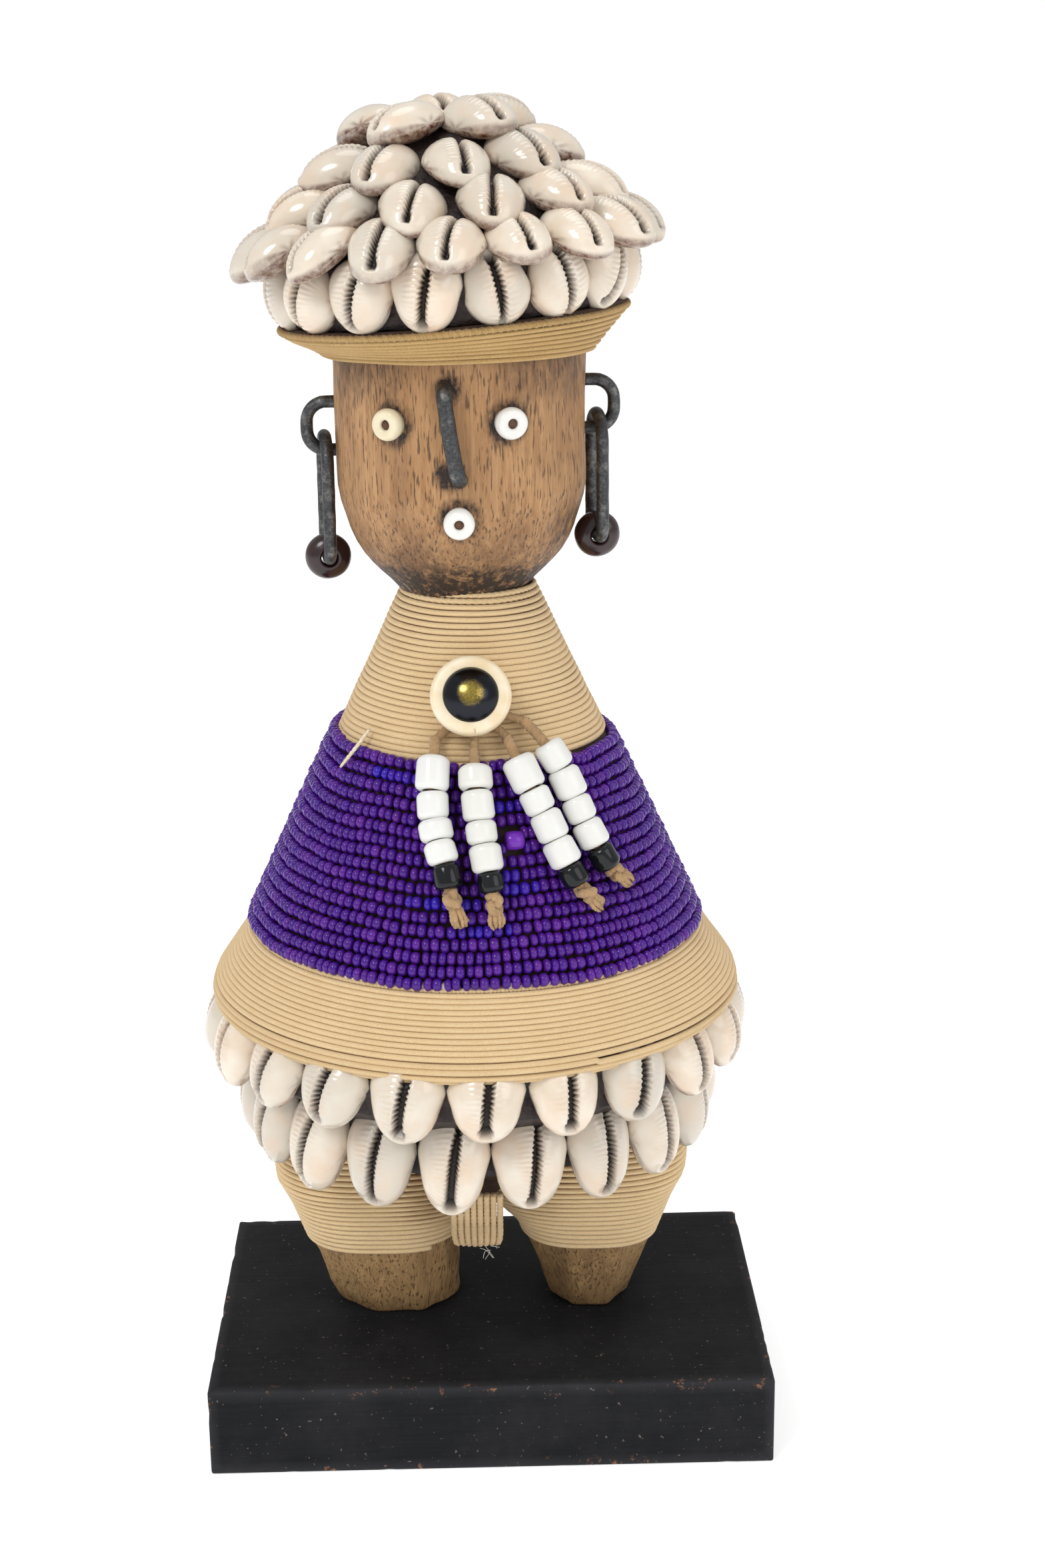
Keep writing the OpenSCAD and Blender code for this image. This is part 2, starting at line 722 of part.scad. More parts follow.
// Each strand's route down the robe: height, x from the axis, and lift off the wood
strand_routes = [
    [[157.6, -7.2, 3.0], [156.2, -7.4, 4.4], [154.6, -7.6, 5.7], [152.6, -7.8, 6.5],
     [150.4, -8.0, 6.6], [148.2, -8.0, 6.6], [146.0, -7.9, 6.6], [143.8, -7.7, 6.6],
     [141.6, -7.3, 6.6], [139.4, -6.8, 6.6], [137.2, -6.2, 6.6], [135.0, -5.6, 6.6],
     [132.8, -5.1, 6.6], [130.6, -4.7, 6.5], [128.4, -4.0, 6.0], [126.4, -3.0, 5.3],
     [124.8, -1.8, 4.8]],
    [[155.6, 0.5, 3.2], [154.7, 0.5, 4.6], [153.6, 0.5, 5.8], [152.0, 0.6, 6.5],
     [150.0, 0.7, 6.6], [148.0, 0.9, 6.6], [146.0, 1.1, 6.6], [144.0, 1.3, 6.6],
     [142.0, 1.6, 6.6], [140.0, 1.9, 6.6], [138.0, 2.3, 6.6], [136.0, 2.7, 6.6],
     [134.0, 3.1, 6.6], [132.0, 3.5, 6.6], [130.0, 3.8, 6.5], [128.0, 4.0, 6.0],
     [126.0, 4.2, 5.3], [124.6, 4.3, 4.8]],
    [[157.6, 7.2, 3.0], [156.6, 7.8, 4.2], [155.2, 8.6, 5.7], [153.2, 9.6, 6.5],
     [151.0, 10.7, 6.6], [148.8, 11.8, 6.6], [146.6, 12.9, 6.6], [144.4, 14.0, 6.6],
     [142.2, 15.1, 6.6], [140.0, 16.1, 6.6], [137.8, 17.1, 6.6], [135.6, 18.2, 6.6],
     [133.4, 19.3, 6.6], [131.2, 20.5, 6.6], [129.2, 21.9, 6.3], [127.4, 23.6, 5.7],
     [126.0, 25.4, 5.0]],
    [[160.4, 10.6, 3.0], [159.6, 11.8, 4.2], [158.4, 13.2, 5.6], [156.6, 14.8, 6.4],
     [154.4, 16.4, 6.6], [152.2, 17.6, 6.6], [150.0, 18.7, 6.6], [147.8, 19.7, 6.6],
     [145.6, 20.6, 6.6], [143.4, 21.6, 6.6], [141.2, 22.6, 6.6], [139.0, 23.7, 6.6],
     [136.8, 24.8, 6.6], [134.6, 26.0, 6.6], [132.4, 27.4, 6.4], [130.4, 29.1, 5.8],
     [128.8, 30.9, 5.0]]
];
// Height of each strand's first bead, and the gap from one bead to the next
strand_first_bead = [152.2, 151.6, 152.0, 154.6];
strand_bead_gap = 0.45;
strand_knot_d = 4.4;

function route_x(n, z) = lookup(z, [for (p = strand_routes[n]) [p[0], p[1]]]);
function route_lift(n, z) = lookup(z, [for (p = strand_routes[n]) [p[0], p[2]]]);
function route_at(n, z) = over_robe(route_x(n, z), z, route_lift(n, z));
function route_points(n) = [for (p = strand_routes[n]) over_robe(p[1], p[0], p[2])];
function unit(v) = v / norm(v);

// A tube of eight sides along points, as one closed polyhedron
module swept_tube(points, diameter) {
    sides = 8;
    last = len(points) - 1;
    rings = [for (i = [0 : last])
        let (along = unit(points[min(i + 1, last)] - points[max(i - 1, 0)]),
             across = unit(cross(along, [0, 1, 0.2])),
             up = cross(across, along))
        for (s = [0 : sides - 1])
            points[i] + diameter / 2 * (across * cos(s * 360 / sides) + up * sin(s * 360 / sides))
    ];
    walls = [for (i = [0 : last - 1], s = [0 : sides - 1])
        let (a = i * sides + s, b = i * sides + (s + 1) % sides)
        each [[a, b, b + sides], [a, b + sides, a + sides]]];
    caps = [[for (s = [sides - 1 : -1 : 0]) s], [for (s = [0 : sides - 1]) last * sides + s]];
    polyhedron(rings, concat(walls, caps));
}

module on_route(n, z) {
    step = 1;
    translate(route_at(n, z)) point_to(route_at(n, z + step) - route_at(n, z - step)) children();
}

// The fall in height that goes with a distance along the route, just below height z
function route_fall(n, z, distance) =
    distance * 4 / norm(route_at(n, z) - route_at(n, z - 4));
function strand_bead_z(n, i) = i == 0 ? strand_first_bead[n] :
    let (above = strand_bead_z(n, i - 1))
    above - route_fall(n, above, strand_bead_length + strand_bead_gap);

module strand_cord(n) {
    color(cord_color) swept_tube(route_points(n), strand_cord_d);
}

module strand_white_beads(n) {
    color(white_color) for (i = [0 : 3]) on_route(n, strand_bead_z(n, i))
        bead(strand_bead_d, strand_bead_length, strand_cord_d + 2 * bead_clearance);
}

module strand_black_bead(n) {
    color(black_color) on_route(n, strand_bead_z(n, 4))
        bead(strand_bead_d * 0.84, strand_bead_length - 0.4, strand_cord_d + 2 * bead_clearance);
}

module strand_knot(n) {
    z = strand_bead_z(n, 4);
    drop = route_fall(n, z, (strand_bead_length + strand_knot_d) / 2 + 0.1);
    color(cord_color) on_route(n, z - drop) sphere(d = strand_knot_d);
}

// Fixed cord ends that come from behind the medallion to the strands' pivots
module medallion_cord_loops() {
    stand_off = strand_cord_d / 2 + 0.35;
    hub = over_robe(0, medallion_z, wrap_cord_d + 0.3 + strand_cord_d / 2);
    color(cord_color) for (n = [0 : 3]) {
        pivot = route_points(n)[0];
        inner = hub + 5.6 * unit(pivot - hub);
        outer = pivot - stand_off * unit(pivot - hub);
        translate(inner) point_to(outer - inner)
            cylinder(d = strand_cord_d - 0.6, h = norm(outer - inner));
    }
}

plinth();
leg_screws();
carved_figure();
neck_cord_wrap();
seed_bead_rows();
accent_bead();
bead_thread_end();
rim_cord_wrap();
skirt_pitch();
upper_skirt_cowries();
lower_skirt_cowries();
thigh_wrap(left_leg);  // left_thigh_cord_wrap
thigh_wrap(right_leg);  // right_thigh_cord_wrap
crotch_cord_strap();
brim_cord_wrap();
cap_pitch();
cap_row(0);  // cap_cowries_row_1
cap_row(1);  // cap_cowries_row_2
cap_row(2);  // cap_cowries_row_3
cap_row(3);  // cap_cowries_row_4
cap_cowries_row_5();
crown_cowrie();
face_bead(eye_left);  // left_eye_bead
face_bead(eye_right);  // right_eye_bead
face_bead(mouth);  // mouth_bead
face_bead_pegs();
nose_staple();
ear_staple(-1);  // left_ear_staple
ear_staple(1);  // right_ear_staple
ear_ring(-1);  // left_ear_ring
ear_ring(1);  // right_ear_ring
ear_ring_bead(-1);  // left_ear_ring_bead
ear_ring_bead(1);  // right_ear_ring_bead
medallion_ring();
medallion_tack();
medallion_cord_loops();
for (n = [0 : 3]) {
    strand_cord(n);
    strand_knot(n);
    strand_white_beads(n);
    strand_black_bead(n);
}
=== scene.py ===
"""Looks of a carved fertility doll: wood, wound cord, seed beads, cowries, wire and strands.

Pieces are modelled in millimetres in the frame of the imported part, and made metres last.
"""

import json
import math
import random

import bmesh
import bpy
from mathutils import Matrix, Vector, noise

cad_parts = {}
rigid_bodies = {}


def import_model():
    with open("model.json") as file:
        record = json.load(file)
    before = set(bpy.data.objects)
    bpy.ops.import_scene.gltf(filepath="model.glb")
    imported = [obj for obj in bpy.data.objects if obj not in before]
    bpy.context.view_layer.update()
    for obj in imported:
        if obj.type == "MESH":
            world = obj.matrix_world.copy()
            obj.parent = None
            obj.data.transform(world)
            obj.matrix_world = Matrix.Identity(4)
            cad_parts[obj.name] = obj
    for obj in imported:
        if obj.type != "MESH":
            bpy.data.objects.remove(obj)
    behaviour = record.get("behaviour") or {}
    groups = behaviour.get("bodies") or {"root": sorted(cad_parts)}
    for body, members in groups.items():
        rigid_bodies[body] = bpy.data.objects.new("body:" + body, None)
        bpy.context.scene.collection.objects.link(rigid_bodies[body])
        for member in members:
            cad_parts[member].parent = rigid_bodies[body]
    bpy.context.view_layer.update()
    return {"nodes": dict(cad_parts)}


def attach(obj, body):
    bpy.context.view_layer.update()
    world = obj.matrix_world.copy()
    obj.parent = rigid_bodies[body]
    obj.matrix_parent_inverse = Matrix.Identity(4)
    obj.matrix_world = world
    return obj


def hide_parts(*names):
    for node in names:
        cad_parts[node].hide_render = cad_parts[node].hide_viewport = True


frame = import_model()

MM = 0.001

# ---------------------------------------------------------------------------
# Sizes of the doll, in millimetres, with +Z up and the doll facing -Y
# ---------------------------------------------------------------------------

PLINTH_LENGTH, PLINTH_DEPTH, PLINTH_HEIGHT = 120.0, 80.0, 19.6
AXIS_X, AXIS_Y = -1.9, 1.5
HIP_Z, FLANGE_Z, ROBE_Z = 50.6, 95.6, 111.0
BEAD_TOP_Z, NECK_Z, BRIM_Z = 154.0, 184.0, 230.0
NECK_R, ROBE_R, RIM_R, SKIRT_CORE_R = 12.7, 46.6, 54.8, 39.0
HEAD_R, HEAD_X, CAP_TILT = 25.7, -1.1, 4.3
ROBE_SLOPE = (ROBE_R - NECK_R) / (NECK_Z - ROBE_Z)
ROBE_ANGLE = math.atan(ROBE_SLOPE)
WRAP_CORD, RIM_CORD, BRIM_CORD, STRAND_CORD = 1.4, 1.35, 1.6, 2.3
NECK_PITCH, RIM_PITCH, THIGH_PITCH, BRIM_PITCH = 1.3, 1.16, 1.36, 1.6
# Each leg: middle and half sizes at the foot, then middle and half sizes at the top
LEFT_LEG = ((-18.6, 5.0), (13.5, 13.5), (-24.0, 0.0), (19.5, 20.5))
RIGHT_LEG = ((24.4, 4.5), (8.6, 12.0), (24.5, 0.0), (20.0, 20.5))
LEG_SPAN = HIP_Z + 4 - PLINTH_HEIGHT

# Face beads: turn round the head, height, lean, and how far a darker ring reaches round each
FACE_BEADS = (("left_eye", -31.5, BRIM_Z - 9.8, 0.0, 4.1), ("right_eye", 21.5, BRIM_Z - 9.6, 0.0, 4.1),
              ("mouth", -1.2, BRIM_Z - 28.7, 9.0, 4.0))
# Where the nose wire goes into the wood: turn round the head, height, and how far a darker ring reaches
NOSE_ENDS = ((-5, BRIM_Z - 3, 2.6), (-5, BRIM_Z - 19.8, 2.8))

AXIS = Matrix.Translation((AXIS_X, AXIS_Y, 0))
HEAD = Matrix.Translation((AXIS_X + HEAD_X, AXIS_Y, 0))
CAP = Matrix.Translation((AXIS_X + HEAD_X, AXIS_Y, BRIM_Z)) @ Matrix.Rotation(
    math.radians(-CAP_TILT), 4, "Y"
)


def turn(degrees, axis="Z"):
    """A turn about one axis."""
    return Matrix.Rotation(math.radians(degrees), 4, axis)


def shift(x, y, z):
    """A move without a turn."""
    return Matrix.Translation((x, y, z))


def smooth(edge_0, edge_1, x):
    """An S-shaped rise from 0 at the first edge to 1 at the second."""
    t = min(1.0, max(0.0, (x - edge_0) / (edge_1 - edge_0)))
    return t * t * (3 - 2 * t)


def arc(x, z, reach_x, reach_z, degrees):
    """Points round (x, z) on an arc, as pairs, at the given angles."""
    return [(x + reach_x * math.cos(math.radians(a)), z + reach_z * math.sin(math.radians(a)))
            for a in degrees]


def robe_wood_r(z):
    """The radius of the robe's wood at a height."""
    return NECK_R + (NECK_Z - z) * ROBE_SLOPE


def over_robe(x, z, lift):
    """The point over the robe's front at x from its axis and height z, lift out from the wood."""
    r = robe_wood_r(z) + lift / math.cos(ROBE_ANGLE)
    return Vector((AXIS_X + x, AXIS_Y - math.sqrt(r * r - x * x), z))


# ---------------------------------------------------------------------------
# Materials
# ---------------------------------------------------------------------------


def tone(hex_code):
    """An sRGB hex colour as linear RGBA."""
    parts = [int(hex_code[i : i + 2], 16) / 255 for i in (0, 2, 4)]
    return [c / 12.92 if c <= 0.04045 else ((c + 0.055) / 1.055) ** 2.4 for c in parts] + [1.0]


def add(mat, kind, inputs=None, **settings):
    """Adds a shader node with its settings, and links or sets its inputs."""
    made = mat.node_tree.nodes.new("ShaderNode" + kind)
    for key, value in settings.items():
        setattr(made, key, value)
    for key, value in (inputs or {}).items():
        if isinstance(value, bpy.types.NodeSocket):
            mat.node_tree.links.new(value, made.inputs[key])
        else:
            made.inputs[key].default_value = value
    return made


def new_material(name, **sockets):
    """A material and its shader, with the shader's plain values set."""
    mat = bpy.data.materials.new(name)
    mat.use_nodes = True
    shader = mat.node_tree.nodes["Principled BSDF"]
    for key, value in sockets.items():
        shader.inputs[key.replace("_", " ")].default_value = value
    return mat, shader


def place_of(mat, scale=(1, 1, 1)):
    """Object coordinates in metres, stretched along the axes by a scale under 1."""
    coords = add(mat, "TexCoord").outputs["Object"]
    return add(mat, "Mapping", {"Vector": coords, "Scale": scale}).outputs[0]


def mottle(mat, vector, size_mm, detail=4.0, rough=0.55, low=0.35, high=0.65):
    """A noise mask from 0 to 1 whose spots are about size_mm across."""
    spots = add(mat, "TexNoise", {"Vector": vector, "Scale": 1 / (size_mm * MM), "Detail": detail,
                                  "Roughness": rough})
    return add(mat, "MapRange", {"Value": spots.outputs["Fac"], "From Min": low, "From Max": high},
               clamp=True).outputs[0]


def mix(mat, factor, a, b):
    """Colour a turning to colour b by a factor; each may be a value or a socket."""
    return add(mat, "Mix", {0: factor, 6: a, 7: b}, data_type="RGBA").outputs[2]


def times(mat, a, b, operation="MULTIPLY"):
    """Two numbers multiplied, or put together by another operation."""
    return add(mat, "Math", {0: a, 1: b}, operation=operation).outputs[0]


def bump(mat, shader, height, distance_mm, strength=1.0):
    """Gives a shader fine relief from a height mask."""
    made = add(mat, "Bump", {"Height": height, "Distance": distance_mm * MM, "Strength": strength})
    mat.node_tree.links.new(made.outputs[0], shader.inputs["Normal"])


def paint(mat, shader, colour, roughness=None):
    """Links a colour, and a roughness if there is one, to a shader."""
    mat.node_tree.links.new(colour, shader.inputs["Base Color"])
    if roughness is not None:
        mat.node_tree.links.new(roughness, shader.inputs["Roughness"])


def ranged(mat, value, low, high):
    """A mask from 0 to 1 turned to a number from low to high."""
    return add(mat, "MapRange", {"Value": value, "To Min": low, "To Max": high}).outputs[0]


def carved_hardwood(name, light, dark, stain, stain_amount):
    """Dry hand-carved hardwood: upright grain, open pores, and dark marks that are partly stains and partly
    painted shade.
    """
    mat, shader = new_material(name, Roughness=0.6)
    grain = mottle(mat, place_of(mat, (1, 1, 0.07)), 0.9, 6, 0.65, 0.3, 0.7)
    broad = mottle(mat, place_of(mat, (1, 1, 0.35)), 9, 3, 0.5, 0.3, 0.7)
    pores = mottle(mat, place_of(mat, (1, 1, 0.13)), 0.45, 2, 0.5, 0.57, 0.67)
    wood = mix(mat, grain, tone(dark), tone(light))
    wood = mix(mat, times(mat, broad, 0.45), wood, tone(stain))
    patches = mottle(mat, place_of(mat, (1, 1, 0.6)), 12, 5, 0.6, 0.56, 0.70)
    # The stain mark holds both stains and painted shade, painted as mottled dark patches.
    stain_and_shade = add(mat, "Attribute", attribute_name="stain").outputs["Fac"]
    dark_part = times(mat, stain_and_shade, mottle(mat, place_of(mat, (1, 1, 0.5)), 1.6, 5, 0.7, 0.30, 0.60))
    wood = mix(mat, times(mat, patches, stain_amount), wood, tone(stain))
    wood = mix(mat, dark_part, wood, tone("241610"))
    wood = mix(mat, times(mat, pores, 0.75), wood, tone("3a2314"))
    paint(mat, shader, wood, ranged(mat, grain, 0.72, 0.48))
    bump(mat, shader, times(mat, grain, times(mat, pores, -0.8), "ADD"), 0.16, 0.8)
    return mat


def wound_cord(name, light, dark, groove_shade_and_dirt, relief=0.12):
    """Twisted plant-fibre cord, glued down: fibres along it, and painted shade, in patches, where it sinks
    between its turns.
    """
    mat, shader = new_material(name, Roughness=0.85, Specular_IOR_Level=0.25, Sheen_Weight=0.15)
    here = place_of(mat)
    sunk = add(mat, "Attribute", attribute_name="sunk").outputs["Fac"]
    fibres = mottle(mat, here, 0.35, 5, 0.7, 0.3, 0.7)
    bands = mottle(mat, place_of(mat, (0.12, 0.12, 1)), 0.8, 3, 0.6, 0.35, 0.65)
    patches = mottle(mat, here, 9, 4, 0.6, 0.45, 0.7)
    cord = mix(mat, fibres, tone(dark), tone(light))
    cord = mix(mat, times(mat, bands, 0.35), cord, tone(light))
    cord = mix(mat, times(mat, patches, 0.25), cord, tone(dark))
    # Painted shade: the cord darkens in patches by how far it is sunk between its turns or against the wood.
    dirt = mottle(mat, place_of(mat, (0.3, 0.3, 1)), 5, 5, 0.65, 0.40, 0.62)
    groove = times(mat, sunk, ranged(mat, dirt, 0.45, 1.0))
    cord = mix(mat, groove, cord, tone(groove_shade_and_dirt))
    paint(mat, shader, cord)
    bump(mat, shader, fibres, relief, 0.7)
    return mat


def cowrie_shell():
    """Cowrie shell: a porcelain-smooth cream enamel, dirty round its foot, with painted shade black in its
    slit and dark between its teeth.
    """
    mat, shader = new_material("cowrie_shell_enamel", Roughness=0.16, Subsurface_Weight=0.06,
                               Subsurface_Scale=0.002, Coat_Weight=0.35, Coat_Roughness=0.06)
    here = place_of(mat)
    each = add(mat, "Attribute", attribute_name="tone").outputs["Fac"]
    slit = add(mat, "Attribute", attribute_name="slit").outputs["Fac"]
    foot = add(mat, "Attribute", attribute_name="foot").outputs["Fac"]
    clouds = mottle(mat, here, 6, 3, 0.5, 0.3, 0.7)
    shell = mix(mat, clouds, tone("efe4d4"), tone("dfceb8"))
    shell = mix(mat, times(mat, each, 0.8), shell, tone("cbc4b7"))
    blush = mottle(mat, here, 9, 2, 0.5, 0.5, 0.7)
    shell = mix(mat, times(mat, blush, 0.35), shell, tone("dfb997"))
    # Reddish brown for the dirt round the foot, and also painted shade in the slit and between the teeth.
    ragged = times(mat, foot, mottle(mat, here, 1.8, 5, 0.7, 0.15, 0.62))
    shell = mix(mat, ragged, shell, tone("5a2c18"))
    # Painted shade: the inside of the slit is painted near black.
    shell = mix(mat, slit, shell, tone("1a0d09"))
    paint(mat, shader, shell, ranged(mat, slit, 0.16, 0.8))
    return mat


def resin_pitch():
    """Dark resin pitch that beds the shells: lumpy, half gloss, with brown thin edges."""
    mat, shader = new_material("resin_pitch", Roughness=0.45)
    here = place_of(mat)
    lumps = mottle(mat, here, 2.2, 6, 0.65, 0.3, 0.7)
    colour = mix(mat, lumps, tone("120b0a"), tone("33221d"))
    paint(mat, shader, colour, ranged(mat, lumps, 0.65, 0.35))
    bump(mat, shader, lumps, 0.5, 0.7)
    return mat


def opaque_glass(name, colours, roughness=0.12, spread=0.25):
    """Opaque bead glass: one drawn colour, slightly uneven from bead to bead, fire-polished."""
    mat, shader = new_material(name, Roughness=roughness, Specular_IOR_Level=0.35)
    each = add(mat, "Attribute", attribute_name="tone").outputs["Fac"]
    ramp = add(mat, "ValToRGB", {"Fac": each})
    ramp.color_ramp.elements[0].color = tone(colours[0])
    ramp.color_ramp.elements[1].color = tone(colours[-1])
    for n, code in enumerate(colours[1:-1], 1):
        ramp.color_ramp.elements.new(n / (len(colours) - 1)).color = tone(code)
    dusty = mottle(mat, place_of(mat), 3, 4, 0.6, 0.35, 0.75)
    paint(mat, shader, mix(mat, times(mat, dusty, spread), ramp.outputs[0], tone(colours[-1])))
    return mat


def forged_wire():
    """Dark annealed iron wire: scaly grey with rubbed bright spots."""
    mat, shader = new_material("annealed_iron_wire", Roughness=0.42, Metallic=0.85)
    here = place_of(mat)
    rub = mottle(mat, here, 2.5, 5, 0.7, 0.5, 0.75)
    scale = mottle(mat, here, 0.5, 4, 0.6, 0.3, 0.7)
    colour = mix(mat, scale, tone("3a3a3b"), tone("57585a"))
    colour = mix(mat, times(mat, rub, 0.8), colour, tone("9a9a96"))
    paint(mat, shader, colour, ranged(mat, scale, 0.55, 0.36))
    bump(mat, shader, scale, 0.06, 0.6)
    return mat


def stained_board():
    """Softwood board under black stain: matt, dusty, its raw wood showing on chipped edges."""
    mat, shader = new_material("black_stained_board", Roughness=0.75, Specular_IOR_Level=0.15)
    here = place_of(mat)
    grain = mottle(mat, place_of(mat, (0.05, 1, 1)), 0.8, 5, 0.65, 0.3, 0.7)
    dust = mottle(mat, here, 22, 6, 0.7, 0.42, 0.75)
    specks = mottle(mat, here, 0.9, 2, 0.5, 0.71, 0.74)
    worn = add(mat, "Attribute", attribute_name="worn").outputs["Fac"]
    chips = times(mat, worn, mottle(mat, here, 3.2, 5, 0.7, 0.60, 0.67))
    board = mix(mat, grain, tone("141518"), tone("1b1c1f"))
    board = mix(mat, times(mat, dust, 0.3), board, tone("3c3b3c"))
    board = mix(mat, times(mat, worn, 0.3), board, tone("4a4a4e"))
    board = mix(mat, times(mat, specks, 0.5), board, tone("8b7c72"))
    board = mix(mat, chips, board, tone("9a6c50"))
    paint(mat, shader, board)
    bump(mat, shader, grain, 0.06, 0.5)
    return mat


def turned_bone():
    """Bone turned to a ring: warm ivory with thin brown growth lines, worn smooth."""
    mat, shader = new_material("turned_bone", Roughness=0.32, Subsurface_Weight=0.08,
                               Subsurface_Scale=0.002)
    here = place_of(mat)
    lines = mottle(mat, place_of(mat, (1, 1, 0.3)), 2.2, 7, 0.75, 0.66, 0.72)
    warm = mottle(mat, here, 5, 3, 0.5, 0.35, 0.7)
    colour = mix(mat, warm, tone("f3e7cd"), tone("e6cfa6"))
    paint(mat, shader, mix(mat, times(mat, lines, 0.7), colour, tone("b9814f")))
    return mat


def lacquered_tack():
    """A domed brass tack under black lacquer that is rubbed through in its middle."""
    mat, shader = new_material("lacquered_brass_tack", Roughness=0.22, Metallic=1.0)
    here = place_of(mat)
    rubbed = add(mat, "Attribute", attribute_name="worn").outputs["Fac"]
    edge = mottle(mat, here, 0.35, 4, 0.6, 0.1, 0.9)
    bare = add(mat, "MapRange", {"Value": times(mat, rubbed, times(mat, edge, 0.5, "ADD")),
                                 "From Min": 0.3, "From Max": 0.95}).outputs[0]
    colour = mix(mat, edge, tone("8f7a35"), tone("c9b25e"))
    paint(mat, shader, mix(mat, bare, tone("2f3035"), colour))
    return mat


def plain_finish(name, light, dark, size_mm, roughness, **sockets):
    """A worn natural finish with two close colours in spots of the given size."""
    mat, shader = new_material(name, Roughness=roughness, **sockets)
    spots = mottle(mat, place_of(mat), size_mm, 5, 0.65, 0.3, 0.7)
    paint(mat, shader, mix(mat, spots, tone(dark), tone(light)))
    bump(mat, shader, spots, 0.05, 0.5)
    return mat


HEAD_WOOD = carved_hardwood("carved_hardwood_head", "c99d6e", "a3764a", "6b4628", 0.5)
LEG_WOOD = carved_hardwood("carved_hardwood_legs", "d0aa76", "a88255", "6a4d31", 0.4)
NECK_CORD = wound_cord("glued_wrap_cord", "ecd2a6", "d9b886", "94714a")
BRIM_CORD_MAT = wound_cord("golden_brim_cord", "dfbd80", "c1975a", "6e4c22", 0.3)
LOOSE_CORD = wound_cord("tan_strand_cord", "dcb98c", "bb9464", "6f5034", 0.25)
# Dark brown for the glue bed under the beads, and as painted shade on the hidden wood that shows in the gaps.
GLUE_AND_SHADE_BROWN = plain_finish("brown_glue_and_painted_shade", "4a3222", "24170f", 2, 0.8)
SHELL = cowrie_shell()
PITCH = resin_pitch()
PURPLE = opaque_glass("purple_seed_bead_glass", ("5a1f8c", "45147a", "481684", "2f1fb0"), 0.16, 0.15)
VIOLET = opaque_glass("violet_accent_bead_glass", ("7432b4", "6a2aa8"), 0.14, 0.1)
WHITE = opaque_glass("white_crow_bead_glass", ("e9e9e6", "e2e1da"), 0.12, 0.4)
IVORY = opaque_glass("yellowed_bead_glass", ("e9e1c8", "ddd0ac"), 0.14, 0.6)
BLACK = opaque_glass("black_crow_bead_glass", ("0d0f11", "15181a"), 0.1, 0.3)
WIRE = forged_wire()
BOARD = stained_board()
BONE = turned_bone()
TACK = lacquered_tack()
PEG = plain_finish("dark_peg_wood", "6b4a33", "3a2317", 0.8, 0.7)
RING_BEAD = plain_finish("waxed_dark_hardwood_bead", "38181a", "180d10", 4, 0.24, Coat_Weight=0.2)
THREAD = plain_finish("waxed_pale_thread", "efe3cb", "d9c7a6", 0.8, 0.7)
LINT = plain_finish("cotton_lint", "f4f2ee", "dedad2", 0.8, 0.9)
ZINC = plain_finish("zinc_plated_screw", "b5b2a8", "8f8c84", 1.2, 0.4, Metallic=1.0)


# ---------------------------------------------------------------------------
# Mesh helpers
# ---------------------------------------------------------------------------


def to_mesh(bm, name):
    """A mesh from a bmesh, which is let go."""
    mesh = bpy.data.meshes.new(name)
    bm.to_mesh(mesh)
    bm.free()
    return mesh


def mark(mesh, name, value_at):
    """Stores value_at(point in millimetres) on each point of a mesh as a float."""
    layer = mesh.attributes.new(name, "FLOAT", "POINT")
    layer.data.foreach_set("value", [float(value_at(v.co)) for v in mesh.vertices])


def finish(name, mesh, material, body, replaces=(), marks=()):
    """Turns a mesh in millimetres into a piece of the object, in metres."""
    for label, value_at in marks:
        mark(mesh, label, value_at)
    mesh.transform(Matrix.Scale(MM, 4))
    mesh.shade_smooth()
    mesh.materials.clear()
    mesh.materials.append(material)
    obj = bpy.data.objects.new(name, mesh)
    bpy.context.scene.collection.objects.link(obj)
    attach(obj, body)
    if replaces:
        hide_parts(*replaces)
    return obj


def lathe(section, steps):
    """A bmesh of a section [(r, z), ...] spun about Z, its doubles merged and its faces outward."""
    bm = bmesh.new()
    verts = [bm.verts.new((r, 0, z)) for r, z in section]
    edges = [bm.edges.new(pair) for pair in zip(verts, verts[1:])]
    bmesh.ops.spin(bm, geom=verts + edges, cent=(0, 0, 0), axis=(0, 0, 1), angle=2 * math.pi,
                   steps=steps, use_merge=True)
    bmesh.ops.remove_doubles(bm, verts=bm.verts, dist=0.001)
    bmesh.ops.recalc_face_normals(bm, faces=bm.faces)
    return bm


def resampled(section, step):
    """A section line with a point every step or so along its straights."""
    made = []
    for (r0, z0), (r1, z1) in zip(section, section[1:]):
        count = max(1, round(math.hypot(r1 - r0, z1 - z0) / step))
        for k in range(count):
            t = k / count
            made.append((r0 + (r1 - r0) * t, z0 + (z1 - z0) * t))
    return made + [section[-1]]


def along(points, step):
    """Points every step or so along a polyline, eased round its corners."""
    points = [Vector(p) for p in points]
    made = []
    for i in range(len(points) - 1):
        a, b = points[i], points[i + 1]
        before = points[i - 1] if i else a + a - b
        after = points[i + 2] if i + 2 < len(points) else b + b - a
        count = max(1, round((b - a).length / step))
        for k in range(count):
            t = k / count
            square = (2 * before - 5 * a + 4 * b - after) * t ** 2
            cube = (3 * a - before - 3 * b + after) * t ** 3
            made.append(0.5 * ((2 * a) + (b - before) * t + square + cube))
    return made + [points[-1]]


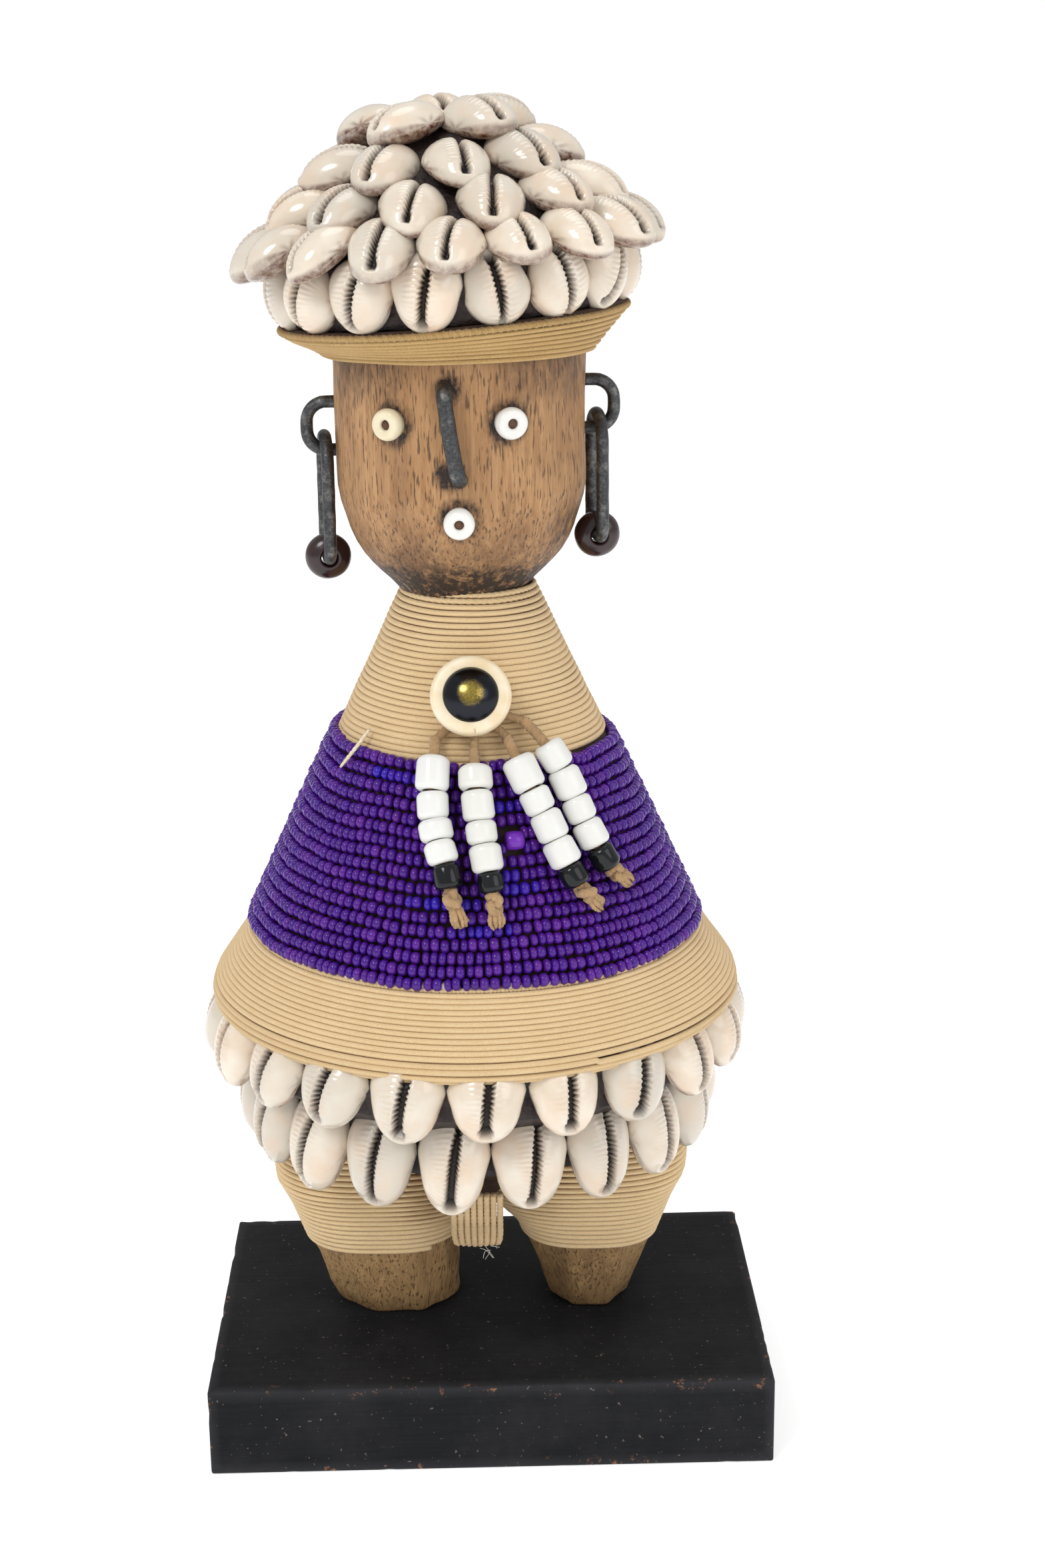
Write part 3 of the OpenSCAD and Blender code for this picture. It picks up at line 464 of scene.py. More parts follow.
def swept(points, radius, sides=10, plies=0, lay_mm=4.0, ply_depth=0.16, radii=None, tilt=0.0):
    """A closed mesh of a rod or a laid cord along points, by a curve and its bevel outline.

    A cord's outline has a lobe for each ply, and it turns once in each lay_mm along the cord.
    """
    outline = bpy.data.curves.new("outline", "CURVE")
    outline.dimensions = "2D"
    ring = outline.splines.new("POLY")
    ring.points.add(sides - 1)
    for i, point in enumerate(ring.points):
        a = 2 * math.pi * i / sides
        reach = radius * (1 - ply_depth * (0.5 - 0.5 * math.cos(plies * a)) if plies else 1)
        point.co = (reach * math.cos(a), reach * math.sin(a), 0, 1)
    ring.use_cyclic_u = True
    outline_object = bpy.data.objects.new("outline", outline)
    line = bpy.data.curves.new("line", "CURVE")
    line.dimensions = "3D"
    line.twist_mode = "MINIMUM"
    spline = line.splines.new("POLY")
    spline.points.add(len(points) - 1)
    travelled = 0.0
    for i, point in enumerate(spline.points):
        if i:
            travelled += (Vector(points[i]) - Vector(points[i - 1])).length
        point.co = (*points[i], 1)
        point.tilt = tilt + (2 * math.pi * travelled / lay_mm if plies else 0)
        point.radius = radii[i] if radii else 1
    line.bevel_mode = "OBJECT"
    line.bevel_object = outline_object
    line.use_fill_caps = True
    scene = bpy.context.scene.collection.objects
    rope = bpy.data.objects.new("rope", line)
    scene.link(outline_object)
    scene.link(rope)
    bpy.context.view_layer.update()
    graph = bpy.context.evaluated_depsgraph_get()
    mesh = bpy.data.meshes.new_from_object(rope.evaluated_get(graph))
    for thing in (rope, outline_object):
        bpy.data.objects.remove(thing)
    bpy.data.curves.remove(line)
    bpy.data.curves.remove(outline)
    bm = bmesh.new()
    bm.from_mesh(mesh)
    bmesh.ops.remove_doubles(bm, verts=bm.verts, dist=0.0005)
    bmesh.ops.recalc_face_normals(bm, faces=bm.faces)
    bm.to_mesh(mesh)
    bm.free()
    if "UVMap" in mesh.attributes:
        mesh.attributes.remove(mesh.attributes["UVMap"])
    return mesh


def gather(meshes):
    """One mesh from several, each in place already."""
    bm = bmesh.new()
    for mesh in meshes:
        bm.from_mesh(mesh)
    for mesh in meshes:
        if mesh.users == 0:
            bpy.data.meshes.remove(mesh)
    return to_mesh(bm, "gathered")


def strewn(templates, places, tones=None, group=120):
    """One mesh of many copies: each place is (which template, matrix), each copy has its tone."""
    bunches = []
    for start in range(0, len(places), group):
        bm = bmesh.new()
        for n, (which, matrix) in enumerate(places[start : start + group], start):
            copy = templates[which].copy()
            copy.transform(matrix)
            if tones:
                layer = copy.attributes.new("tone", "FLOAT", "POINT")
                layer.data.foreach_set("value", [tones[n]] * len(copy.vertices))
            bm.from_mesh(copy)
            bpy.data.meshes.remove(copy)
        bunches.append(to_mesh(bm, "bunch"))
    return gather(bunches)


def wobble(p, size, amount, seed=0.0):
    """A steady random length at a point, for tool marks and lumps of about the given size."""
    return amount * noise.noise(Vector(p) / size + Vector((seed, seed * 1.7, -seed)))


# ---------------------------------------------------------------------------
# Camera, floor and light
# ---------------------------------------------------------------------------


def studio():
    """A level camera close in front, a pale floor, a white surround and three soft lamps."""
    lens = bpy.data.cameras.new("studio_camera")
    lens.lens, lens.sensor_width = 56.58, 36.0
    lens.clip_start, lens.clip_end = 0.01, 50
    camera = bpy.data.objects.new("studio_camera", lens)
    camera.matrix_world = (shift(-0.002, -0.503, 0.289) @ turn(-1.23) @ turn(90 - 16.47, "X")
                           @ turn(-0.66))
    bpy.context.scene.collection.objects.link(camera)
    bpy.context.scene.camera = camera
    bpy.context.scene.view_settings.view_transform = "Standard"

    bm = bmesh.new()
    bmesh.ops.create_circle(bm, cap_ends=True, segments=96, radius=6)
    floor = bpy.data.objects.new("floor", to_mesh(bm, "floor"))
    bpy.context.scene.collection.objects.link(floor)
    floor_mat, _ = new_material("pale_floor", Base_Color=tone("f4f4f4"), Roughness=0.9,
                                Specular_IOR_Level=0.1, Emission_Color=tone("ffffff"),
                                Emission_Strength=0.45)
    floor.data.materials.append(floor_mat)

    world = bpy.data.worlds.new("studio_world")
    bpy.context.scene.world = world
    world.use_nodes = True
    seen = world.node_tree.nodes.new("ShaderNodeLightPath")
    strength = world.node_tree.nodes.new("ShaderNodeMapRange")
    strength.inputs["To Min"].default_value = 0.62
    strength.inputs["To Max"].default_value = 1.05
    world.node_tree.links.new(seen.outputs["Is Camera Ray"], strength.inputs["Value"])
    surround = world.node_tree.nodes["Background"]
    surround.inputs["Color"].default_value = (1, 1, 1, 1)
    world.node_tree.links.new(strength.outputs[0], surround.inputs["Strength"])
    for name, place, aim, size, power in (
        ("key", (-0.7, -0.9, 1.25), (0, 0, 0.16), 0.6, 8.5),
        ("fill", (0.9, -0.8, 0.7), (0, 0, 0.14), 0.9, 3.2),
        ("top", (0.0, 0.25, 1.4), (0, 0, 0.2), 0.7, 2.4),
    ):
        lamp = bpy.data.lights.new(name, "AREA")
        lamp.shape, lamp.size, lamp.energy = "DISK", size, power
        lamp_object = bpy.data.objects.new(name, lamp)
        aimed = (Vector(aim) - Vector(place)).to_track_quat("-Z", "Y")
        lamp_object.matrix_world = shift(*place) @ aimed.to_matrix().to_4x4()
        bpy.context.scene.collection.objects.link(lamp_object)


studio()

# ---------------------------------------------------------------------------
# Beaded strands
# ---------------------------------------------------------------------------

# Each strand's route down the robe: height, x from the axis, and lift off the wood
STRAND_ROUTES = (
    ((157.6, -7.2, 3.0), (156.2, -7.4, 4.4), (154.6, -7.6, 5.7), (152.6, -7.8, 6.5),
     (150.4, -8.0, 6.6), (148.2, -8.0, 6.6), (146.0, -7.9, 6.6), (143.8, -7.7, 6.6),
     (141.6, -7.3, 6.6), (139.4, -6.8, 6.6), (137.2, -6.2, 6.6), (135.0, -5.6, 6.6),
     (132.8, -5.1, 6.6), (130.6, -4.7, 6.5), (128.4, -4.0, 6.0), (126.4, -3.0, 5.3),
     (124.8, -1.8, 4.8)),
    ((155.6, 0.5, 3.2), (154.7, 0.5, 4.6), (153.6, 0.5, 5.8), (152.0, 0.6, 6.5),
     (150.0, 0.7, 6.6), (148.0, 0.9, 6.6), (146.0, 1.1, 6.6), (144.0, 1.3, 6.6),
     (142.0, 1.6, 6.6), (140.0, 1.9, 6.6), (138.0, 2.3, 6.6), (136.0, 2.7, 6.6),
     (134.0, 3.1, 6.6), (132.0, 3.5, 6.6), (130.0, 3.8, 6.5), (128.0, 4.0, 6.0),
     (126.0, 4.2, 5.3), (124.6, 4.3, 4.8)),
    ((157.6, 7.2, 3.0), (156.6, 7.8, 4.2), (155.2, 8.6, 5.7), (153.2, 9.6, 6.5),
     (151.0, 10.7, 6.6), (148.8, 11.8, 6.6), (146.6, 12.9, 6.6), (144.4, 14.0, 6.6),
     (142.2, 15.1, 6.6), (140.0, 16.1, 6.6), (137.8, 17.1, 6.6), (135.6, 18.2, 6.6),
     (133.4, 19.3, 6.6), (131.2, 20.5, 6.6), (129.2, 21.9, 6.3), (127.4, 23.6, 5.7),
     (126.0, 25.4, 5.0)),
    ((160.4, 10.6, 3.0), (159.6, 11.8, 4.2), (158.4, 13.2, 5.6), (156.6, 14.8, 6.4),
     (154.4, 16.4, 6.6), (152.2, 17.6, 6.6), (150.0, 18.7, 6.6), (147.8, 19.7, 6.6),
     (145.6, 20.6, 6.6), (143.4, 21.6, 6.6), (141.2, 22.6, 6.6), (139.0, 23.7, 6.6),
     (136.8, 24.8, 6.6), (134.6, 26.0, 6.6), (132.4, 27.4, 6.4), (130.4, 29.1, 5.8),
     (128.8, 30.9, 5.0)),
)
# For each strand: where its first bead's middle is, and each bead's length and diameter
FIRST_BEAD_Z = (152.2, 151.6, 152.0, 154.6)
STRAND_BEADS = (
    ((7.0, 6.8), (5.6, 6.4), (4.3, 6.8), (4.7, 6.4), (5.2, 5.6)),
    ((4.9, 6.9), (6.1, 6.5), (4.7, 6.2), (5.6, 6.5), (4.2, 5.2)),
    ((7.0, 6.9), (5.0, 6.3), (6.0, 6.6), (5.6, 6.6), (4.6, 5.6)),
    ((6.0, 6.3), (6.2, 6.6), (5.2, 6.2), (5.6, 6.4), (5.2, 5.5)),
)
BEAD_BORE, BEAD_GAP = 3.0, 0.06
# The knot under the last bead, and the yarns that leave it
KNOT_DROP, KNOT_SIZE, KNOT_CORD, TAIL_LEAST = 1.9, 0.62, 2.1, 4.6


def crow_bead(length, outer, seed):
    """A barrel bead of moulded glass with round shoulders and a true bore."""
    bore, half = BEAD_BORE / 2, length / 2
    shoulder = min(1.3, half * 0.6)
    lower = [(bore, -half + 0.3), (bore + 0.25, -half + 0.05)]
    lower += arc(outer / 2 - shoulder, shoulder - half, shoulder, shoulder, range(-90, 1, 15))
    upper = [(r, -z) for r, z in reversed(lower)]
    bm = lathe(lower + upper + [lower[0]], 32)
    for v in bm.verts:
        v.co += v.co.normalized() * wobble(v.co, 3.0, 0.16, seed)
    return to_mesh(bm, "crow_bead")


class Route:
    """A strand's smooth route, to be walked by distance in millimetres."""

    def __init__(self, points):
        self.points = along(points, 0.25)
        self.far = [0.0]
        for a, b in zip(self.points, self.points[1:]):
            self.far.append(self.far[-1] + (b - a).length)
        self.length = self.far[-1]

    def at(self, distance):
        """The point at that distance, straight on past the route's end."""
        if distance >= self.length:
            end = (self.points[-1] - self.points[-4]).normalized()
            return self.points[-1] + end * (distance - self.length)
        i = max(1, next(n for n, d in enumerate(self.far) if d >= distance))
        t = (distance - self.far[i - 1]) / (self.far[i] - self.far[i - 1])
        return self.points[i - 1].lerp(self.points[i], t)

    def frame(self, distance, reach=1.5):
        """A matrix whose Z runs up the route at that distance and whose X lies off the robe."""
        here = self.at(distance)
        up = (self.at(max(0, distance - reach)) - self.at(distance + reach)).normalized()
        side = up.cross(Vector((AXIS_X - here.x, AXIS_Y - here.y, 0))).normalized()
        out = side.cross(up)
        return Matrix.Translation(here) @ Matrix((out, side, up)).transposed().to_4x4()


def knot_mesh(size, cord_d, seed):
    """A small tight overhand knot of laid cord, centred, with its tail side down."""
    points = []
    for k in range(73):
        t = 2 * math.pi * k / 72
        points.append(Vector((math.sin(t) + 2 * math.sin(2 * t), math.cos(t) - 2 * math.cos(2 * t),
                              -1.3 * math.sin(3 * t))) * size)
    mesh = swept(points, cord_d / 2, 9, 3, 3.4, 0.22)
    mesh.transform(turn(90, "X") @ turn(seed * 47))
    return mesh


def frayed_tail(start, down, out, length, rng, strands=7):
    """A bunch of loosened yarns that leave a knot and spread a little."""
    side = down.cross(out).normalized()
    yarns = []
    for k in range(strands):
        a = 2 * math.pi * k / strands
        spread = 0.75 + 0.5 * rng.random()
        lean = side * math.cos(a) * spread + out * math.sin(a) * spread * 0.6
        points = [start + lean * 0.55, start + down * length * 0.35 + lean * 0.95]
        points.append(start + down * length * 0.7 + lean * (0.95 + 0.4 * rng.random()))
        fall = length * (0.92 + 0.16 * rng.random())
        points.append(start + down * fall + lean * (0.6 + 0.5 * rng.random()))
        fine = along(points, 0.35)
        radii = [1 - 0.45 * (i / (len(fine) - 1)) ** 3 for i in range(len(fine))]
        yarns.append(swept(fine, 0.62, 7, 3, 2.4, 0.25, radii, rng.random() * 6))
    return yarns


def make_strand(n):
    """One strand of the four: its laid cord, its beads, its knot and the frayed tail."""
    rng = random.Random(40 + n)
    body = f"strand_{n + 1}"
    points = [over_robe(x, z, lift) for z, x, lift in STRAND_ROUTES[n]]
    route = Route(points)
    cord = finish(f"{body}_laid_cord", swept(along(points, 0.45), STRAND_CORD / 2, 10, 3, 4.2, 0.14),
                  LOOSE_CORD, body, [f"{body}_cord"], [("sunk", lambda p: 0.2)])
    first = next(d for d, p in zip(route.far, route.points) if p.z <= FIRST_BEAD_Z[n])
    white, black = [], []
    place = first - STRAND_BEADS[n][0][0] / 2
    for k, (length, outer) in enumerate(STRAND_BEADS[n]):
        mesh = crow_bead(length, outer, n * 7 + k)
        mesh.transform(route.frame(place + length / 2, length * 0.4) @ turn(rng.uniform(-2, 2), "Y")
                       @ turn(rng.uniform(0, 360)))
        (black if k == 4 else white).append(mesh)
        place += length + BEAD_GAP
    shade = rng.random()
    beads = finish(f"{body}_white_glass_beads", gather(white), WHITE, body,
                   [f"{body}_white_beads"], [("tone", lambda p: shade)])
    last = finish(f"{body}_black_glass_bead", gather(black), BLACK, body,
                  [f"{body}_black_bead"], [("tone", lambda p: shade)])
    knot_at = place + KNOT_DROP
    seat = route.frame(knot_at)
    knot = knot_mesh(KNOT_SIZE, KNOT_CORD, n + 1)
    knot.transform(seat)
    down, out = -seat.col[2].xyz, seat.col[0].xyz
    end_run = max(TAIL_LEAST, route.length - knot_at)
    tail = frayed_tail(seat.translation + down * 1.2, down, out, end_run - 0.8, rng)
    knot_piece = finish(f"{body}_knot_and_tail", gather([knot] + tail), LOOSE_CORD, body,
                        [f"{body}_knot"], [("sunk", lambda p: 0.15)])


for strand in range(4):
    make_strand(strand)

# ---------------------------------------------------------------------------
# Wound cord
# ---------------------------------------------------------------------------


def section_point(section, s):
    """The point and outward normal, as (r, z) pairs, at distance s along a section line."""
    left = s
    for (r0, z0), (r1, z1) in zip(section, section[1:]):
        run = math.hypot(r1 - r0, z1 - z0)
        if left <= run or (r1, z1) == tuple(section[-1]):
            t = left / run
            normal = ((z0 - z1) / run, (r1 - r0) / run)
            return (r0 + (r1 - r0) * t, z0 + (z1 - z0) * t), normal
        left -= run


def winding(section, cord_d, pitch, matrix, seed, step=0.55, plies=2, lay_mm=3.0, sides=8,
            ripple=0.1, depth=0.2, placed=None):
    """Cord wound in close turns down a section line, from its top point, glued to the wood.

    placed gives the point for an angle, a radius and a height, where the wood isn't round.
    """
    total = sum(math.hypot(b[0] - a[0], b[1] - a[1]) for a, b in zip(section, section[1:]))
    points, s, angle = [], 0.0, math.pi / 2
    while s < total - pitch * 0.02:
        (r, z), (nr, nz) = section_point(section, s)
        x, y = math.cos(angle), math.sin(angle)
        bob = wobble((x * 9, y * 9, s * 0.9), 5.0, ripple, seed)
        out = cord_d / 2 - 0.05 + bob
        slide = wobble((x * 7, y * 7, s * 0.3), 4.0, ripple * 1.2, seed + 9)
        r_here = r + nr * out + nz * slide
        z_here = z + nz * out - nr * slide
        spot = placed(angle, r_here, z_here) if placed else (x * r_here, y * r_here, z_here)
        points.append(matrix @ Vector(spot))
        swing = step / max(r, 6)
        angle += swing
        s += pitch * swing / (2 * math.pi)
    return swept(points, cord_d / 2, sides, plies, lay_mm, depth)


# Painted shade: a cord is darkened by how far down between its turns it lies.
def sunk_between_turns(height_of, cord_d):
    """How far down between the turns a point lies, from 0 on a cord's crown to 1 at the wood."""
    return lambda p: 1 - smooth(0.44, 0.70, height_of(p) / cord_d)


def cone_height(section):
    """How far outside a straight section line a place (r, z) lies."""
    (r0, z0), (r1, z1) = section[0], section[-1]
    run = math.hypot(r1 - r0, z1 - z0)
    nr, nz = (z0 - z1) / run, (r1 - r0) / run
    return lambda r, z: (r - r0) * nr + (z - z0) * nz


def robe_height(section):
    """How far outside a straight section line of the robe a point lies."""
    height = cone_height(section)
    return lambda p: height(math.hypot(p.x - AXIS_X, p.y - AXIS_Y), p.z)


def neck_wrap():
    """The cord from under the chin down to the beads."""
    top, low = NECK_Z + 0.2, BEAD_TOP_Z - 2.4
    section = [(robe_wood_r(top), top), (robe_wood_r(low), low)]
    mesh = winding(section, WRAP_CORD, NECK_PITCH, AXIS, 3.0, step=0.5, ripple=0.14)
    finish("neck_cord_winding", mesh, NECK_CORD, "figure", ["neck_cord_wrap"],
           [("sunk", sunk_between_turns(robe_height(section), WRAP_CORD))])


RIM_TURN_Z = FLANGE_Z + 3.6
RIM_SECTION = [(ROBE_R + 0.2, ROBE_Z + 0.4), (RIM_R + 0.4, RIM_TURN_Z), (RIM_R + 1.0, FLANGE_Z + 1.6),
               (RIM_R + 0.4, FLANGE_Z + 0.1), (RIM_R - 1.4, FLANGE_Z - 0.5)]


def rim_wrap():
    """The finer cord from the beads down over the robe's rim."""
    mesh = winding(RIM_SECTION, RIM_CORD, RIM_PITCH, AXIS, 8.0, step=0.8, ripple=0.16, depth=0.1)
    height = robe_height(RIM_SECTION[:2])

    # Painted shade between the turns above the rim's turn, and a light even share below it.
    def sunk(p):
        if p.z <= RIM_TURN_Z:
            return 0.15
        return 0.6 * (1 - smooth(0.42, 0.7, height(p) / RIM_CORD))

    finish("rim_cord_winding", mesh, NECK_CORD, "figure", ["rim_cord_wrap"],
           [("sunk", sunk)])


def rim_paper_edge():
    """Pale torn paper that shows as a thin ragged line between the beads and the rim."""
    inner = ROBE_R - 2.5
    bm = lathe([(inner, ROBE_Z - 0.4), (ROBE_R + 1.3, ROBE_Z - 0.3), (ROBE_R + 1.2, ROBE_Z + 1.0),
                (inner, ROBE_Z + 1.6), (inner, ROBE_Z - 0.4)], 300)
    for v in bm.verts:
        if v.co.xy.length > ROBE_R:
            v.co.z += wobble(v.co, 2.2, 0.5, 17.0)
            v.co *= 1 + wobble(v.co, 1.4, 0.012, 19.0) * (1 if v.co.z > ROBE_Z + 0.5 else 0)
    bm.transform(AXIS)
    finish("rim_paper_edge", to_mesh(bm, "paper"), THREAD, "figure")


BRIM_LOW, BRIM_HIGH, BRIM_WRAP_R = 0.35, 9.6, 35.0


def brim_lift(angle, z):
    """How far the brim's lower edge rises on its left (-X) and front, fading to its top."""
    rise = 1.6 - 1.6 * math.cos(angle) - 0.5 * math.sin(angle)
    return rise * (1 - smooth(BRIM_LOW, BRIM_HIGH, z))


def brim_wrap():
    """The thick three-ply cord round the cap's brim."""
    section = [(BRIM_WRAP_R + 0.1, BRIM_HIGH + 0.3), (HEAD_R + 0.3, BRIM_LOW)]

    def lifted(angle, r, z):
        return r * math.cos(angle), r * math.sin(angle), z + brim_lift(angle, z)

    mesh = winding(section, BRIM_CORD, BRIM_PITCH, CAP, 14.0, step=0.6, plies=3, lay_mm=4.4, sides=9,
                   ripple=0.16, depth=0.24, placed=lifted)
    inverse = CAP.inverted()
    off_line = cone_height(section)

    def height(p):
        """The point's height over the cone, once the lift of the brim's edge is taken off."""
        q = inverse @ p
        level, angle = q.z, math.atan2(q.y, q.x)
        for _ in range(8):
            level = q.z - brim_lift(angle, level)
        return off_line(math.hypot(q.x, q.y), level)

    finish("brim_cord_winding", mesh, BRIM_CORD_MAT, "figure", ["brim_cord_wrap"],
           [("sunk", sunk_between_turns(height, BRIM_CORD))])


def leg_at(leg, z):
    """A leg's middle and half sizes at a height."""
    t = (z - PLINTH_HEIGHT) / LEG_SPAN
    return [[leg[k][i] * (1 - t) + leg[k + 2][i] * t for i in (0, 1)] for k in (0, 1)]


def thigh_wrap(leg, side, low):
    """Cord round one thigh, over the leg's eight flats rounded off, from the shells down."""
    plump = 2.8
    grow = WRAP_CORD / 2 - 0.2

    def rounded(angle, _, z):
        (mx, my), (hx, hy) = leg_at(leg, min(z, HIP_Z + 3))
        c, s = math.cos(angle), math.sin(angle)
        reach = (abs(c) ** plump + abs(s) ** plump) ** (-1 / plump)
        belly = 1 + 0.05 * smooth(HIP_Z - 4, HIP_Z + 8, z)
        crotch = 1.0 if c * mx > 0 else 1 + 0.25 * smooth(40, 50, z)
        return mx + c * reach * (hx * belly * crotch + grow), my + s * reach * (hy * belly + grow), z

    section = [(17.0, HIP_Z + 17), (17.0, low)]
    mesh = winding(section, WRAP_CORD, THIGH_PITCH, AXIS, 20.0 + side, ripple=0.08, placed=rounded)
    inner = AXIS.inverted()

    # Painted shade on the side of the cord that lies against the leg.
    def sunk(p):
        q = inner @ p
        (mx, my), (hx, hy) = leg_at(leg, min(q.z, HIP_Z + 3))
        angle = math.atan2((q.y - my) / hy, (q.x - mx) / hx)
        x, y, _ = rounded(angle, 0, q.z)
        off = math.hypot(q.x - mx, q.y - my) - math.hypot(x - mx, y - my)
        return 1 - smooth(-0.25, 0.35, off)

    name = "left" if side < 0 else "right"
    finish(f"{name}_thigh_cord_winding", mesh, NECK_CORD, "figure",
           [f"{name}_thigh_cord_wrap"], [("sunk", sunk)])


STRAP_X, STRAP_WIDTH, STRAP_CORDS = -0.6, 11.2, 8
STRAP_LOW, STRAP_HIGH, STRAP_FRONT = HIP_Z - 8.9, HIP_Z + 9, 22.9


def strap():
    """The strap between the thighs: turns of cord side by side, under the crotch, front to back."""
    cords = []
    for k in range(STRAP_CORDS):
        across = k / (STRAP_CORDS - 1) - 0.5
        x = STRAP_X + across * (STRAP_WIDTH - WRAP_CORD)
        sag = 0.7 * abs(across)
        down = [(x, 9.5, STRAP_HIGH), (x, 3.4, HIP_Z - 0.5), (x, 0.6, STRAP_LOW + 4.5),
                (x * 0.9, -1.4, STRAP_LOW + 1 + sag), (x * 0.6, -6, STRAP_LOW + 0.3 + sag)]
        route = [(rx, -STRAP_FRONT - out, rz) for rx, out, rz in down]
        route.append((x * 0.5, 0, STRAP_LOW + 0.8))
        route += [(rx, STRAP_FRONT + out, rz) for rx, out, rz in reversed(down)]
        points = [AXIS @ p for p in along(route, 0.5)]
        cords.append(swept(points, WRAP_CORD / 2 + 0.05, 8, 2, 3.0, 0.2))
    finish("crotch_strap_cords", gather(cords), NECK_CORD, "figure",
           ["crotch_cord_strap"], [("sunk", lambda p: 0.35)])


def strap_lint():
    """A few wisps of lint that cling to the strap's front."""
    rng = random.Random(5)
    wisps = []
    for _ in range(6):
        start = Vector((AXIS_X + 2.2 + rng.uniform(-2.4, 1.5), AXIS_Y - STRAP_FRONT + 0.6,
                        STRAP_LOW + rng.uniform(-0.4, 1.2)))
        route = [start, start + Vector((rng.uniform(-1.2, 1.6), -0.5, rng.uniform(-1.4, 0.2)))]
        route.append(route[1] + Vector((rng.uniform(-1, 1.6), 0.3, rng.uniform(-2.2, -0.2))))
        wisps.append(swept(along(route, 0.5), 0.045, 4))
    finish("strap_lint", gather(wisps), LINT, "figure")


neck_wrap()
rim_wrap()
rim_paper_edge()
brim_wrap()
thigh_wrap(LEFT_LEG, -1, 38.2)
thigh_wrap(RIGHT_LEG, 1, 37.6)
strap()
strap_lint()

# ---------------------------------------------------------------------------
# Seed beads
# ---------------------------------------------------------------------------

SEED_D, SEED_PITCH, SEED_ROW = 2.75, 1.95, 2.62


def seed_bead():
    """A small barrel bead on its thread; the bore doesn't show between its neighbours."""
    bm = lathe([(0, -0.82), (0.95, -0.80), (1.33, -0.34), (1.33, 0.34), (0.95, 0.80), (0, 0.82)], 9)
    return to_mesh(bm, "seed_bead")


ACCENT_X, ACCENT_Z, ACCENT_LENGTH = 8.2, 138.5, 4.0


def seed_rows():
    """One thread of seed beads wound down the robe in eighteen turns."""
    rng = random.Random(11)
    template = seed_bead()
    rise = math.cos(ROBE_ANGLE)
    turns = round((BEAD_TOP_Z - ROBE_Z - 1.6) / rise / SEED_ROW)
    total = turns * SEED_ROW
    accent = over_robe(ACCENT_X, ACCENT_Z, 1.5)
    places, tones, angle, s = [], [], math.pi / 2, 0.0
    blue = 0
    while s < total:
        z = BEAD_TOP_Z - 0.9 - s * rise * 1.035 - 0.45 * math.cos(angle) * (1 - s / total)
        z += wobble((math.cos(angle) * 22, math.sin(angle) * 22, s * 0.45), 9.0, 0.75, 2.0)
        lift = SEED_D / 2 + 0.25 + rng.uniform(-0.10, 0.12)
        r = robe_wood_r(z) + lift / math.cos(ROBE_ANGLE)
        around = Vector((math.cos(angle), math.sin(angle), 0))
        here = Vector((AXIS_X, AXIS_Y, z + rng.uniform(-0.13, 0.13))) + around * r
        size = rng.uniform(0.93, 1.07)
        length = rng.uniform(0.80, 1.2)
        tangent = Vector((-around.y, around.x, 0.0))
        normal = around * math.cos(ROBE_ANGLE) + Vector((0, 0, math.sin(ROBE_ANGLE)))
        up = tangent.cross(normal)
        basis = Matrix((normal, up, tangent)).transposed().to_4x4()
        lean = turn(rng.uniform(-5, 5), "X") @ turn(rng.uniform(-5, 5), "Y")
        if (here - accent).length > ACCENT_LENGTH / 2 + 0.35:
            blue = rng.randint(2, 9) if blue <= 0 and rng.random() < 0.012 else blue - 1
            tones.append(rng.uniform(0.74, 0.95) if blue > 0 else rng.uniform(0.0, 0.66))
            places.append((0, Matrix.Translation(here) @ basis @ lean
                           @ Matrix.Diagonal((size, size, length, 1)) @ turn(rng.uniform(0, 40))))
        swing = SEED_PITCH * length * 0.98 / r
        angle += swing
        s += SEED_ROW * swing / (2 * math.pi)
    half = len(places) // 2
    for name, part in (("upper", slice(0, half)), ("lower", slice(half, None))):
        finish(f"seed_beads_{name}", strewn([template], places[part], tones[part]), PURPLE, "figure",
               ["seed_bead_rows"])
    core = [(robe_wood_r(z) + 0.45, z) for z in (ROBE_Z - 0.5, BEAD_TOP_Z + 0.2)]
    bed = lathe([(core[0][0] - 6, core[0][1]), core[0], core[1], (core[1][0] - 6, core[1][1])], 96)
    bed.transform(AXIS)
    finish("robe_glue_bed", to_mesh(bed, "bed"), GLUE_AND_SHADE_BROWN, "figure")


def accent_bead():
    """The one larger bead among the rows, lying across them."""
    section = [(0.4, -1.75), (1.3, -1.9), (1.85, -1.4), (1.95, 0), (1.85, 1.4), (1.3, 1.9), (0.4, 1.75)]
    bm = lathe(section + [section[0]], 24)
    bm.transform(Matrix.Translation(over_robe(ACCENT_X, ACCENT_Z, 2.15)) @ turn(12) @ turn(90, "Y"))
    finish("accent_seed_bead", to_mesh(bm, "accent"), VIOLET, "figure",
           ["accent_bead"], [("tone", lambda p: 0.1)])


def thread_end():
    """The end of the bead thread that stands off at the robe's upper left."""
    low, high = over_robe(-26.9, 149.8, 4.1), over_robe(-20.7, 157.6, 2.6)
    middle = (low + high) / 2 + Vector((0.3, -0.7, 0.4))
    fine = along([high, middle, low], 0.4)
    radii = [0.75 + 0.35 * math.sin(math.pi * i / (len(fine) - 1)) for i in range(len(fine))]
    finish("loose_bead_thread", swept(fine, 0.42, 8, 2, 2.2, 0.2, radii), THREAD, "figure",
           ["bead_thread_end"])


seed_rows()
accent_bead()
thread_end()

# ---------------------------------------------------------------------------
# Cowries
# ---------------------------------------------------------------------------


